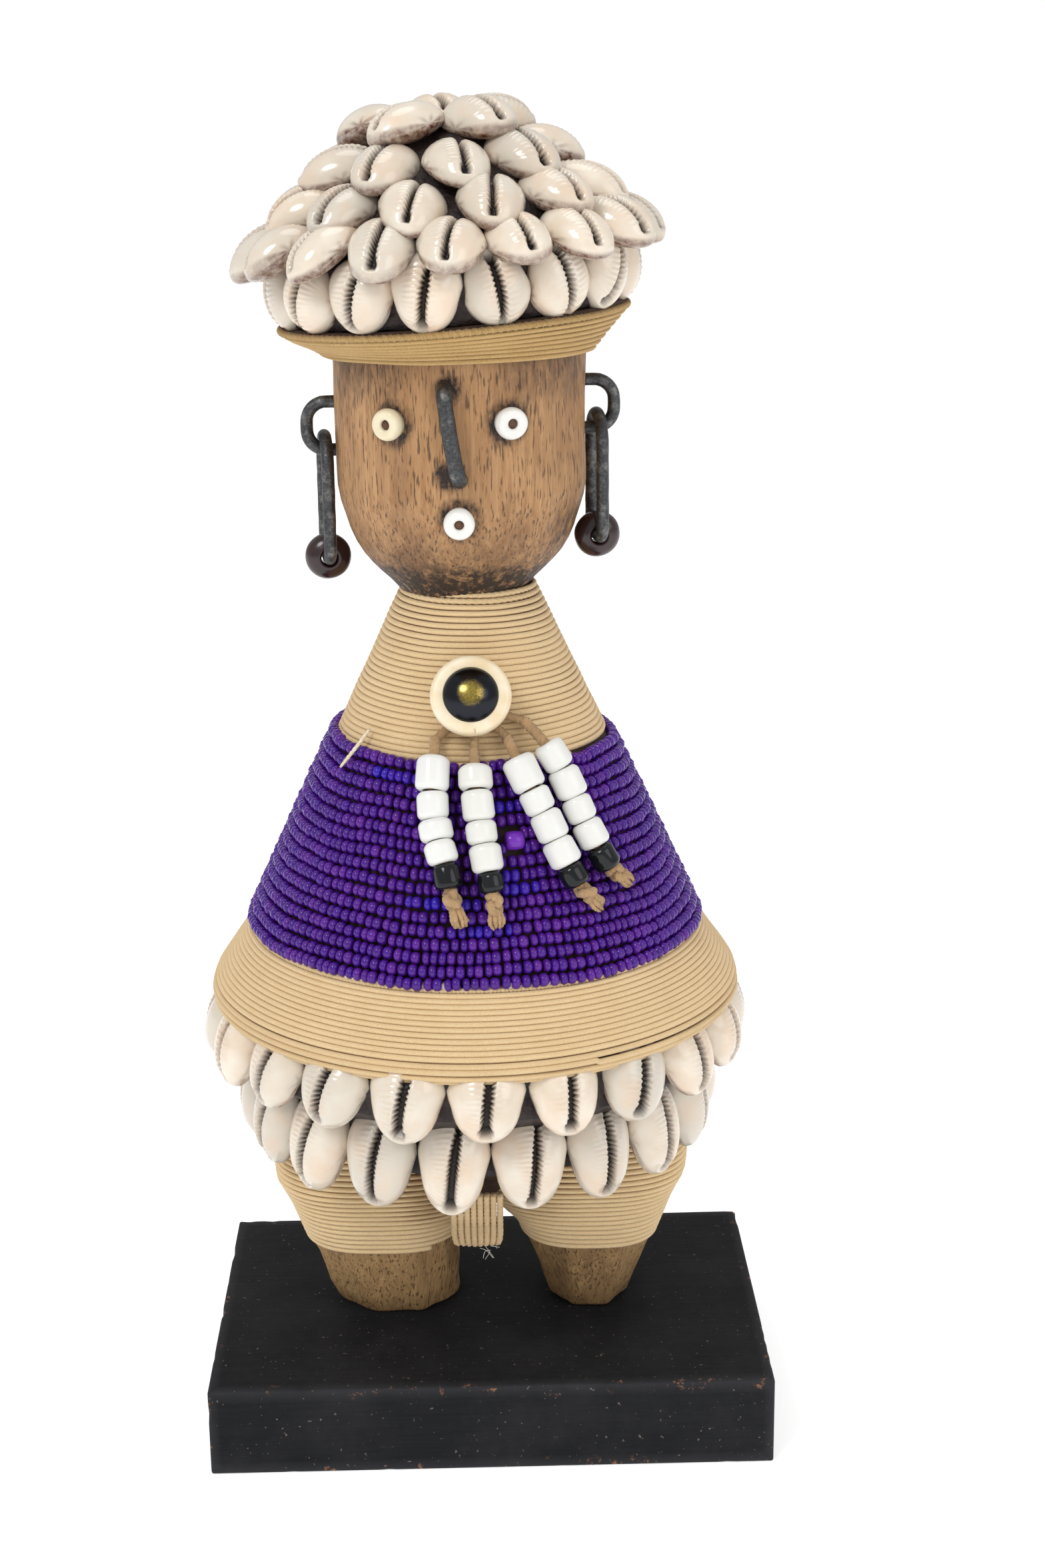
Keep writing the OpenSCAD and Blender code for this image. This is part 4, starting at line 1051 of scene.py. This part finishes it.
def cowrie(length, width, depth, gape, grime, seed):
    """A money cowrie: long axis Z with its notched end up, slit on +X, resting on its back.

    The poles of a sphere become the shell's two sides, and its rings are drawn together along
    the slit. Each point is then moved out to the shell, into the slit, or up on a tooth. The
    slit is twice gape wide, and dirt reaches up to grime above the shell's widest line.
    """
    rng = random.Random(seed)
    slit_off, slit_bend = rng.uniform(-1.0, -0.3), rng.uniform(0.9, 1.7)
    gape *= rng.uniform(0.85, 1.2)
    tooth, phase = rng.uniform(1.05, 1.25), rng.uniform(0, 6)
    columns, rows = 128, 26
    offsets = (0.0, 0.35, 0.62, 0.85, 1.1, 1.4, 1.8)
    half_l, half_w = length / 2, width / 2
    bm = bmesh.new()
    bmesh.ops.create_uvsphere(bm, u_segments=columns, v_segments=rows, radius=1)
    slit_layer = bm.verts.layers.float.new("slit")
    foot_layer = bm.verts.layers.float.new("foot")
    for v in bm.verts:
        # Where the point goes: a runs from end to end of the shell, and y from side to side
        row = math.asin(max(-1, min(1, v.co.z))) / (math.pi / rows)
        column = math.atan2(v.co.y, v.co.x)
        a = column * (0.5 + 0.5 * abs(column) / math.pi)
        wide = half_w * (1 - 0.07 * math.sin(a))
        middle = slit_off + slit_bend * math.sin(a * 0.9 + 0.5)
        k = round(abs(row))
        side = math.copysign(1, row)
        y = middle + side * offsets[min(k, len(offsets) - 1)]
        if k >= len(offsets):
            near = math.asin(max(-1, min(1, y / wide)))
            outward = (k - len(offsets) + 1) / (rows / 2 - len(offsets) + 1)
            y = wide * math.sin(near + (side * math.pi / 2 - near) * outward)
        # The shell's own outline there
        d = y - middle
        c = max(0.0, 1 - (y / wide) ** 2)
        front = math.cos(a) >= 0
        tall = depth if front else 2.8
        x = tall * c ** 0.5 * abs(math.cos(a)) * (1 if front else -1)
        z = half_l * c ** 0.45 * math.sin(a)
        normal = Vector((x / tall ** 2, y / wide ** 2, z / half_l ** 2)).normalized()
        # The slit, with its notch, teeth and rolled lips
        into = smooth(-1.38, -1.12, a) * (1 - smooth(1.10, 1.24, a))
        notch = math.exp(-((a - 1.0) / 0.17) ** 2)
        comb = math.cos(2 * math.pi * half_l * math.sin(a) / tooth + phase + (0 if d > 0 else 2.2))
        off = abs(d)
        lip = 2.0 if d > 0 else 1.0
        fade = into * smooth(-1.3, -0.9, a) * (1 - smooth(0.75, 1.0, a))
        teeth = 0.13 * comb * math.exp(-((off - gape) / lip) ** 2) * fade
        edge = gape * (1 + 0.55 * notch - 0.35 * smooth(0.2, 0.9, -a)) + 0.24 * comb * fade
        inside = 1 - smooth(edge - 0.15, edge + 0.30, off)
        roll = 0.55 * math.exp(-(off / (gape + 0.9)) ** 2)
        deep = into * (2.2 * inside + roll) * (0.5 + 0.5 * min(1, c * 1.4))
        v.co = Vector((x, y, z)) + normal * (teeth - deep)
        # Painted shade: how far inside the slit a point lies, to be painted near black.
        v[slit_layer] = into * smooth(0.30, 0.85, inside)
        # Dirt low on the shell, with painted shade in the slit and between the teeth
        foot = 1 - smooth(-1.2, 1.2, x - grime + 0.5 * math.sin(7 * a + seed))
        grooves = 0.12 * fade * (0.5 - 0.5 * comb) * math.exp(-((off - gape) / lip) ** 2)
        v[foot_layer] = max(foot, into * 0.5 * inside, grooves)
    bmesh.ops.recalc_face_normals(bm, faces=bm.faces)
    return to_mesh(bm, f"cowrie_{seed}")


def upright(phase, count, i, r, z, lean, spin, tip_down=True):
    """A place on a ring of shells that stand on end, slits outward."""
    flip = turn(180, "X") if tip_down else Matrix()
    return (turn(phase - 90 + i * 360 / count) @ shift(r, 0, z) @ turn(lean, "Y")
            @ turn(spin, "X") @ flip)


def radial(phase, count, i, r, z, slope, spin, roll):
    """A place on a ring of shells that lie like petals, notched ends outward, slits up."""
    level, steep = math.cos(math.radians(slope)), math.sin(math.radians(slope))
    lay = Matrix(((steep, 0, level), (0, -1, 0), (level, 0, -steep))).to_4x4()
    return turn(phase - 90 + i * 360 / count) @ shift(r, 0, z) @ turn(roll) @ lay @ turn(spin)


def shell_row(name, node, base, templates, places, seed):
    """A row of shells, each a template stretched a little and in its own tone."""
    rng = random.Random(seed)
    chosen = []
    for place in places:
        which = rng.randrange(len(templates))
        stretch = (rng.uniform(0.94, 1.05), rng.uniform(0.94, 1.05), rng.uniform(0.94, 1.04), 1)
        chosen.append((which, base @ place @ Matrix.Diagonal(stretch)))
    tones = [rng.random() for _ in places]
    finish(name, strewn(templates, chosen, tones, 30), SHELL, "figure", [node])


# The skirt rows: how many shells each has, the radius of its bed, and a shell's size
UPPER_COUNT, LOWER_COUNT = 21, 19
UPPER_R, LOWER_R = RIM_R - 1.2, SKIRT_CORE_R + 6.4
UPPER_SHELL, LOWER_SHELL = (18.6, 14.9, 6.0), (21.8, 14.9, 6.0)


def skirt_shells():
    """The two rows of shells under the rim, with their notched ends down."""
    rng = random.Random(3)
    templates = [cowrie(*UPPER_SHELL, 0.85, 0, 100 + k) for k in range(5)]
    upper = [upright(1.8, UPPER_COUNT, i, UPPER_R - 0.7, FLANGE_Z - 5.1, rng.uniform(-23, -17),
                     rng.uniform(-11, 8)) for i in range(UPPER_COUNT)]
    lower_templates = [cowrie(*LOWER_SHELL, 0.95, 0, 200 + k) for k in range(5)]
    lower = [upright(-6.3, LOWER_COUNT, i, LOWER_R + 1.1, HIP_Z + 23.0, rng.uniform(-11, -6),
                     rng.uniform(-7, 7)) for i in range(LOWER_COUNT)]
    shell_row("upper_skirt_shells", "upper_skirt_cowries", AXIS, templates, upper, 31)
    shell_row("lower_skirt_shells", "lower_skirt_cowries", AXIS, lower_templates, lower, 32)


# Cap rows from the top down: count, first shell's turn, tip radius, axis height, slope
CAP_ROWS = ((5, -30, 21.0, 45.6, 12), (9, 9, 29.2, 38.6, 18), (12, -12, 36.6, 31.6, 22),
            (17, 1, 43.6, 24.6, 25))
CAP_REACH, CAP_SHELL, LOW_CAP_SHELL = 17.0, (17.4, 12.6, 5.6), (15.4, 13.2, 5.6)
LOW_CAP_COUNT, LOW_CAP_R = 16, 33.2


def cap_shells():
    """Four rows like petals, a row on end under them, and one shell on the crown."""
    rng = random.Random(8)
    templates = [cowrie(*CAP_SHELL, 0.62, 0.45, 300 + k) for k in range(6)]
    for n, (count, phase, tip_r, height, slope) in enumerate(CAP_ROWS, 1):
        middle = tip_r - CAP_REACH / 2 * math.cos(math.radians(slope))
        places = [radial(phase, count, i, middle + rng.uniform(-0.5, 0.5),
                         height + rng.uniform(-0.5, 0.4), slope + rng.uniform(-5, 5),
                         rng.uniform(-20, 20), rng.uniform(-13, 13)) for i in range(count)]
        shell_row(f"cap_shells_row_{n}", f"cap_cowries_row_{n}", CAP, templates, places, 40 + n)
    short = [cowrie(*LOW_CAP_SHELL, 0.8, 0.2, 320 + k) for k in range(5)]
    places = [upright(-8, LOW_CAP_COUNT, i, LOW_CAP_R, BRIM_HIGH + 7.2, rng.uniform(-3, 3),
                      rng.uniform(-24, 24), i % 3 == 0) for i in range(LOW_CAP_COUNT)]
    shell_row("cap_shells_row_5", "cap_cowries_row_5", CAP, short, places, 46)
    crown = turn(25) @ radial(0, 1, 0, 0, 47.2, 0, 0, 0)
    shell_row("crown_shell", "crown_cowrie", CAP, templates, [crown], 47)


def lumpy(section, matrix, name, node, seed, amount):
    """A bed of pitch: a turned shape pushed in and out in lumps."""
    bm = lathe(section, 150)
    for v in bm.verts:
        out = Vector((v.co.x, v.co.y, 0))
        if out.length > 6:
            push = wobble(v.co, 4.2, amount, seed) + wobble(v.co, 1.7, amount * 0.45, seed + 4)
            v.co += out.normalized() * push + Vector((0, 0, 0.5 * push))
    bm.transform(matrix)
    finish(name, to_mesh(bm, name), PITCH, "figure", [node])


def pitch_beds():
    """The pitch that the skirt's shells and the cap's shells sit in."""
    bed_low, bed_high = LOWER_R - 0.4, UPPER_R - 0.2
    skirt = [(30, HIP_Z + 17), (bed_low - 1.5, HIP_Z + 18.5), (bed_low + 0.8, HIP_Z + 29),
             (bed_high, HIP_Z + 35), (bed_high, FLANGE_Z - 1.0), (30, FLANGE_Z - 1.0)]
    lumpy(resampled(skirt, 1.6), AXIS, "skirt_pitch_bed", "skirt_pitch", 2.0, 1.1)
    cap = [(24, BRIM_HIGH + 0.4), (33.4, BRIM_HIGH + 0.6), (33.6, BRIM_HIGH + 12), (30.5, 25.0),
           (27.5, 31.5), (20.5, 37.5), (13, 44.0), (6, 47.0), (0, 47.6)]
    lumpy(resampled(cap, 1.6), CAP, "cap_pitch_bed", "cap_pitch", 6.0, 1.2)


skirt_shells()
cap_shells()
pitch_beds()

# ---------------------------------------------------------------------------
# Wood: head, robe core, legs and plinth
# ---------------------------------------------------------------------------


def head_shade_and_stain(p):
    """Darker marks on the head: painted shade under the chin, on its right and under the brim's sides, and
    darker rings round beads and wire.
    """
    q = p - Vector((AXIS_X + HEAD_X, AXIS_Y, 0))
    angle = math.degrees(math.atan2(q.x, -q.y))
    # Painted shade under the chin, under the brim at the sides (rubbed), and on the right jaw and cheek.
    chin = 1.1 * (1 - smooth(186.5, 192.5, p.z)) + 0.5 * (1 - smooth(190, 202, p.z))
    sides = smooth(14, 30, abs(angle + 2)) * (1 - smooth(70, 100, abs(angle)))
    rubbed = 0.55 * smooth(221, 229, p.z) * sides
    jaw = (1 - smooth(188, 196, p.z)) * smooth(-10, 35, angle) * (1 - smooth(100, 140, angle))
    cheek = smooth(38, 60, angle) * (1 - smooth(95, 120, angle)) * (1 - smooth(197, 207, p.z)) * 0.8
    # Darker rings round the face beads and the nose wire's ends.
    spots = 0.0
    for degrees, z, size in [(turned, z, size) for _, turned, z, _, size in FACE_BEADS] + list(NOSE_ENDS):
        far = math.hypot(math.radians(angle - degrees) * HEAD_R, p.z - z)
        spots = max(spots, 1.25 * (1 - smooth(size * 0.85, size * 1.35, far)))
    return max(chin, 0.9 * jaw, cheek, rubbed, spots)


def head():
    """The head and its chin down to the neck cord, cut with a knife."""
    section = [(0, NECK_Z - 2.6), (NECK_R - 0.4, NECK_Z - 2.4), (NECK_R + 0.6, NECK_Z - 0.6),
               (NECK_R + 1.6, NECK_Z + 0.6), (15.4, 185.8), (17.3, 187.6), (19.3, 189.6), (20.9, 191.5),
               (22.2, 193.6), (23.3, 196.2), (24.2, 199.2), (25.1, 202.2), (25.6, 205.2), (HEAD_R, 209),
               (HEAD_R, 234.5), (0, 234.5)]
    bm = lathe(resampled(section, 0.9), 160)
    for v in bm.verts:
        out = Vector((v.co.x, v.co.y, 0))
        if out.length > 8 and v.co.z > NECK_Z:
            cut = wobble((v.co.x, v.co.y, v.co.z * 0.45), 7.0, 0.30, 4.0)
            rough = wobble((v.co.x * 1.6, v.co.y * 1.6, v.co.z * 0.25), 1.0, 0.07, 1.0)
            v.co += out.normalized() * (cut + rough - 0.12)
    bm.transform(HEAD)
    finish("carved_head", to_mesh(bm, "head"), HEAD_WOOD, "figure", ["carved_figure"],
           [("stain", head_shade_and_stain)])


def robe_core():
    """The wood under the wraps, brim and cap, which shows only as dark gaps, so it is given the dark glue
    colour as painted shade.
    """
    section = [(0, HIP_Z - 3), (11, HIP_Z - 3), (24, HIP_Z + 8), (36, HIP_Z + 16),
               (SKIRT_CORE_R + 2, HIP_Z + 20), (SKIRT_CORE_R + 3, FLANGE_Z - 8),
               (RIM_R - 4, FLANGE_Z - 1), (RIM_R - 0.4, FLANGE_Z + 0.6), (RIM_R - 0.3, FLANGE_Z + 3),
               (ROBE_R - 0.2, ROBE_Z), (NECK_R - 0.2, NECK_Z - 0.4), (0, NECK_Z - 0.4)]
    bm = lathe(section, 96)
    bm.transform(AXIS)
    finish("robe_core", to_mesh(bm, "core"), GLUE_AND_SHADE_BROWN, "figure", ["carved_figure"])
    # The brim's hidden wood also gets the dark colour as painted shade.
    slope = (BRIM_WRAP_R - HEAD_R) / BRIM_HIGH
    cone = [(0, 3.0), (HEAD_R + 2.0 * slope, 2.0), (BRIM_WRAP_R - 0.2, BRIM_HIGH - 0.1),
            (BRIM_WRAP_R - 1, BRIM_HIGH + 0.3), (0, BRIM_HIGH + 0.3)]
    bm = lathe(cone, 96)
    for v in bm.verts:
        if v.co.xy.length > 5 and v.co.z < BRIM_HIGH:
            v.co.z += brim_lift(math.atan2(v.co.y, v.co.x), v.co.z)
    bm.transform(CAP)
    finish("brim_core", to_mesh(bm, "brim"), GLUE_AND_SHADE_BROWN, "figure", ["carved_figure"])


def leg(which, side):
    """A carved leg: eight flats that narrow to the foot, with soft edges and tool marks."""
    bm = bmesh.new()
    bmesh.ops.create_circle(bm, segments=8, radius=1 / math.cos(math.radians(22.5)), cap_ends=True,
                            matrix=turn(22.5))
    bottom = list(bm.faces)
    grown = bmesh.ops.extrude_face_region(bm, geom=bottom)
    top = [g for g in grown["geom"] if isinstance(g, bmesh.types.BMVert)]
    bmesh.ops.translate(bm, verts=top, vec=(0, 0, 1))
    bmesh.ops.recalc_face_normals(bm, faces=bm.faces)
    high = HIP_Z + 2
    for v in bm.verts:
        (mx, my), (hx, hy) = leg_at(which, PLINTH_HEIGHT if v.co.z < 0.5 else high)
        v.co = Vector((mx + v.co.x * hx, my + v.co.y * hy, PLINTH_HEIGHT if v.co.z < 0.5 else high))
    upright_edges = [e for e in bm.edges if abs(e.verts[0].co.z - e.verts[1].co.z) > 1]
    bmesh.ops.bevel(bm, geom=upright_edges, offset=1.2, offset_type="OFFSET", segments=3,
                    profile=0.5, affect="EDGES", material=-1)
    foot_edges = [e for e in bm.edges if max(v.co.z for v in e.verts) < PLINTH_HEIGHT + 0.01]
    bmesh.ops.bevel(bm, geom=foot_edges, offset=0.9, offset_type="OFFSET", segments=2,
                    profile=0.5, affect="EDGES", material=-1)
    bmesh.ops.triangulate(bm, faces=[f for f in bm.faces if len(f.verts) > 4])
    for _ in range(3):
        long_edges = [e for e in bm.edges if e.calc_length() > 1.8]
        bmesh.ops.subdivide_edges(bm, edges=long_edges, cuts=1, use_grid_fill=True)
    bmesh.ops.triangulate(bm, faces=[f for f in bm.faces if len(f.verts) > 4])
    (mx, my), _ = leg_at(which, 30)
    for v in bm.verts:
        if v.co.z > PLINTH_HEIGHT + 0.05:
            out = Vector((v.co.x - mx, v.co.y - my, 0)).normalized()
            cut = wobble(v.co, 5.0, 0.55, side * 3.0) + wobble(v.co, 1.5, 0.12, side * 5.0)
            v.co += out * cut
    bm.transform(AXIS)
    bmesh.ops.recalc_face_normals(bm, faces=bm.faces)
    name = "left" if side < 0 else "right"

    def stain(p):
        # Darker at the foot, painted shade on the inner side that faces the other leg, and the right leg a
        # little darker all over.
        foot = 1 - smooth(PLINTH_HEIGHT, PLINTH_HEIGHT + 2.5, p.z)
        inner = smooth(-5, 3, -side * (p.x - AXIS_X) + 6) * 0.6
        front_right = 0.34 if side > 0 else 0.1
        return max(0.5 * foot, inner, front_right)

    finish(f"{name}_carved_leg", to_mesh(bm, "leg"), LEG_WOOD, "figure", ["carved_figure"],
           [("stain", stain)])


def plinth():
    """The board: sawn square, its edges and corners rubbed round and chipped."""
    bm = bmesh.new()
    bmesh.ops.create_cube(bm, size=1)
    size = (PLINTH_LENGTH, PLINTH_DEPTH, PLINTH_HEIGHT)
    bmesh.ops.scale(bm, vec=size, verts=bm.verts)
    bmesh.ops.translate(bm, vec=(0, 0, PLINTH_HEIGHT / 2), verts=bm.verts)
    bmesh.ops.bevel(bm, geom=list(bm.edges), offset=0.55, offset_type="OFFSET", segments=3, profile=0.5,
                    affect="EDGES", material=-1)
    for _ in range(6):
        long_edges = [e for e in bm.edges if e.calc_length() > 2.6]
        if long_edges:
            bmesh.ops.subdivide_edges(bm, edges=long_edges, cuts=1, use_grid_fill=True)
    half = Vector((PLINTH_LENGTH / 2, PLINTH_DEPTH / 2, 0))

    def near_edge(p):
        gaps = sorted((half.x - abs(p.x), half.y - abs(p.y), min(p.z, PLINTH_HEIGHT - p.z)))
        return gaps[1]

    for v in bm.verts:
        near = 1 - smooth(0.3, 2.2, near_edge(v.co))
        nick = max(0.0, wobble(v.co, 2.6, 1.0, 6.0) - 0.28) * near
        v.co.x *= 1 - nick * 0.9 / half.x * near
        v.co.y *= 1 - nick * 0.9 / half.y * near
        if v.co.z > PLINTH_HEIGHT / 2:
            v.co.z -= nick * 0.8 + 0.05 * (1 + noise.noise(v.co / 9))
    finish("plinth_board", to_mesh(bm, "plinth"), BOARD, "figure", ["plinth"],
           [("worn", lambda p: 1 - smooth(0.25, 1.4, near_edge(p)))])


head()
robe_core()
leg(LEFT_LEG, -1)
leg(RIGHT_LEG, 1)
plinth()

# ---------------------------------------------------------------------------
# Face, wire and medallion
# ---------------------------------------------------------------------------


def head_place(degrees, z):
    """A place on the head's axis at a height, turned round the head from the face."""
    return HEAD @ shift(0, 0, z) @ turn(degrees)


def face_beads():
    """Eyes and mouth: three fat beads flat on the face, each on a peg into the wood."""
    pegs = []
    for n, (name, degrees, z, lean, _) in enumerate(FACE_BEADS):
        section = [(0.98, 0.0), (2.9, 0.0)]
        section += arc(2.35, 1.5, 0.85, 1.2, range(-60, 1, 15)) + arc(2.35, 1.5, 0.85, 1.5, range(15, 91, 15))
        section += [(1.5, 2.95), (1.15, 2.75), (0.98, 2.4), (0.98, 0.0)]
        bm = lathe(section, 48)
        for v in bm.verts:
            v.co.x *= 1.0 + 0.03 * math.sin(n * 2.0)
            v.co += Vector((v.co.x, v.co.y, 0)) * wobble(v.co, 3.0, 0.02, n + 5.0)
        deep = HEAD_R - (0.4 if name == "mouth" else 0.1)
        seat = head_place(degrees, z) @ shift(0, -deep, 0) @ turn(90 + lean, "X")
        bm.transform(seat)
        glass = IVORY if name == "left_eye" else WHITE
        finish(f"{name}_glass_ring", to_mesh(bm, name), glass, "figure",
               [f"{name}_bead"], [("tone", lambda p: 0.3)])
        peg = lathe([(0, -3), (1.0, -3), (1.0, 2.0), (0.8, 2.3), (0, 2.35)], 24)
        for v in peg.verts:
            if v.co.z > 1:
                v.co.z += wobble(v.co, 0.7, 0.16, n)
        peg.transform(seat)
        pegs.append(to_mesh(peg, "peg"))
    finish("face_bead_wood_pegs", gather(pegs), PEG, "figure", ["face_bead_pegs"])


def hammered(points, wire_d, seed, matrix, sides=20):
    """A rod bent along points, with the slight dents of hand bending."""
    fine = along(points, 0.45)
    radii = [1 + wobble((i * 0.45, seed, 0), 2.4, 0.05, seed) for i in range(len(fine))]
    return swept([matrix @ p for p in fine], wire_d / 2, sides, radii=radii)


def nose():
    """The nose: one thick wire, bent in at both ends."""
    wire, top, height = 3.1, BRIM_Z - 2.6, 18.2
    place = head_place(-6, top) @ shift(0, -HEAD_R, 0)
    points = [(-0.2, 4.5, 0.2), (-0.2, 0.6, 0.0), (-0.1, -1.9, -0.5), (0.1, -3.1, -2.6),
              (0.9, -3.3, -8.5), (2.0, -3.1, -height + 3.0), (2.4, -2.0, -height + 0.8),
              (2.5, 0.4, -height + 0.2), (2.5, 4.5, -height)]
    mesh = hammered(points, wire, 2.0, place, 24)
    finish("nose_wire", mesh, WIRE, "figure", ["nose_staple"])


EAR_WIRE, EAR_BEND, EAR_HEIGHT, EAR_REACH, EAR_DEPTH = 2.6, 4.0, 9.8, 7.0, 5.0
RING_OUT, RING_HEIGHT, RING_WIDTH, RING_CORNER = EAR_REACH - 1.3 - EAR_BEND + 0.5, 25.0, 12.0, 3.0
RING_BEAD_R, RING_BEAD_HALF = 4.8, 3.0
EAR_Z = {-1: BRIM_Z - 18, 1: BRIM_Z - 14.2}


def ear_line():
    """The ear wire's line in the plane of its bend: out of the wood, up, and back in."""
    middle = EAR_REACH - EAR_WIRE / 2 - EAR_BEND
    line = arc(middle, EAR_BEND, EAR_BEND, EAR_BEND, range(-90, 1, 15))
    line += arc(middle, EAR_HEIGHT - EAR_BEND, EAR_BEND, EAR_BEND, range(0, 91, 15))
    return [(-EAR_DEPTH, 0, 0)] + [(x, 0, z) for x, z in line] + [(-EAR_DEPTH, 0, EAR_HEIGHT)]


def ring_line():
    """The ear ring's line, round at its top and squarer below, from its bead all the way round."""
    half, bottom, corner = RING_WIDTH / 2, -RING_HEIGHT, RING_CORNER
    line = [(-0.3, bottom), (corner - half, bottom)]
    line += arc(corner - half, bottom + corner, corner, corner, (240, 210, 180))
    line += [(-half, bottom + 10)] + arc(0, -half, half, half, range(180, -1, -15))
    line += [(half, bottom + 10)]
    line += arc(half - corner, bottom + corner, corner, corner, (0, -30, -60))
    line += [(half - corner, bottom), (0.3, bottom)]
    return [(0, y, z) for y, z in line]


def ring_bead(side):
    """The dark wooden bead that turns on a ring."""
    bore = EAR_WIRE / 2 + 0.35
    section = [(bore, 0.25 - RING_BEAD_HALF), (bore + 0.5, -RING_BEAD_HALF)]
    for a in [math.radians(d) for d in range(-64, 65, 8)]:
        section.append((RING_BEAD_R * math.cos(a) ** 0.75, 3.02 * math.sin(a)))
    section += [(bore + 0.5, RING_BEAD_HALF), (bore, RING_BEAD_HALF - 0.25), section[0]]
    bm = lathe(section, 40)
    for v in bm.verts:
        if v.co.xy.length > bore + 0.6:
            v.co *= 1 + wobble(v.co, 4.0, 0.02, side)
    return bm


def ears():
    """On each side: a bent wire in the head, a ring that hangs on it and a bead on the ring."""
    for side, name in ((-1, "left"), (1, "right")):
        ear = head_place(180 if side < 0 else 0, EAR_Z[side]) @ shift(HEAD_R, 0, 0)
        finish(f"{name}_ear_wire", hammered(ear_line(), EAR_WIRE, 5.0 + side, ear), WIRE, "figure",
               [f"{name}_ear_staple"])
        ring = ear @ shift(RING_OUT, 0, EAR_WIRE + 0.3) @ turn(8)
        finish(f"{name}_ring_wire", hammered(ring_line(), EAR_WIRE, 9.0 + side, ring), WIRE,
               f"{name}_ear_ring", [f"{name}_ear_ring"])
        bead = ring_bead(side)
        bead.transform(ring @ shift(0, 0, -RING_HEIGHT) @ turn(90, "X"))
        finish(f"{name}_ring_wood_bead", to_mesh(bead, "bead"), RING_BEAD, f"{name}_ring_bead",
               [f"{name}_ear_ring_bead"])


MEDALLION_Z, MEDALLION_D, TACK_D, RING_THICK = NECK_Z - 20, 16.4, 11.2, 3.0
MEDALLION_BACK = WRAP_CORD + 0.06 + STRAND_CORD + 0.3
TACK_DOME, TACK_LENGTH = 3.2, 10
MEDALLION_SEAT = (Matrix.Translation((AXIS_X, AXIS_Y - robe_wood_r(MEDALLION_Z), MEDALLION_Z))
                  @ turn(90 - math.degrees(ROBE_ANGLE), "X"))


def medallion_ring():
    """The bone ring, flat at its back and round at its rim."""
    outer, inner, high = MEDALLION_D / 2, TACK_D / 2 - 1.2, RING_THICK
    section = [(inner, 0), (outer - 1.1, 0)] + arc(outer - 1.25, high / 2, 1.25, high / 2, range(-60, 91, 15))
    section += [(outer - 2.4, high + 0.02), (inner + 0.3, high - 0.25), (inner, high - 0.5), (inner, 0)]
    bm = lathe(section, 96)
    bm.transform(MEDALLION_SEAT @ shift(0, 0, MEDALLION_BACK))
    finish("medallion_bone_ring", to_mesh(bm, "ring"), BONE, "figure", ["medallion_ring"])


def medallion_tack():
    """The domed tack through the ring, its pin in the wood."""
    ball = (TACK_D ** 2 / 4 + TACK_DOME ** 2) / (2 * TACK_DOME)
    span = math.degrees(math.asin(TACK_D / 2 / ball))
    section = [(0, -TACK_LENGTH), (0.8, -TACK_LENGTH), (0.8, -0.3), (TACK_D / 2 - 0.5, -0.35)]
    section += arc(0, TACK_DOME - ball, ball, ball, [90 - span * k / 16 for k in range(16, -1, -1)])
    bm = lathe(section, 96)
    seat = MEDALLION_SEAT @ shift(0, 0, MEDALLION_BACK + RING_THICK)
    bm.transform(seat)
    back = seat.inverted()
    finish("medallion_tack", to_mesh(bm, "tack"), TACK, "figure", ["medallion_tack"],
           [("worn", lambda p: 1 - smooth(0.6, 4.2, (back @ p).xy.length))])


def medallion_cords():
    """The cord ends behind the medallion, one to the top of each strand."""
    hub = over_robe(0, MEDALLION_Z, WRAP_CORD + 0.3 + STRAND_CORD / 2)
    cords = []
    for points in STRAND_ROUTES:
        z, x, lift = points[0]
        pivot = over_robe(x, z, lift)
        out = (pivot - hub).normalized()
        inner_end, outer_end = hub + 4.0 * out, pivot + 0.9 * out
        middle = (inner_end + outer_end) / 2 + Vector((0.2, -0.15, 0))
        cords.append(swept(along([inner_end, middle, outer_end], 0.4), 0.98, 10, 3, 4.0, 0.2))
    finish("medallion_cord_ends", gather(cords), LOOSE_CORD, "figure",
           ["medallion_cord_loops"], [("sunk", lambda p: 0.3)])


face_beads()
nose()
ears()
medallion_ring()
medallion_tack()
medallion_cords()

# The screws are hidden under the board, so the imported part's own shape is enough
screws = frame["nodes"]["leg_screws"]
screws.data.materials.clear()
screws.data.materials.append(ZINC)
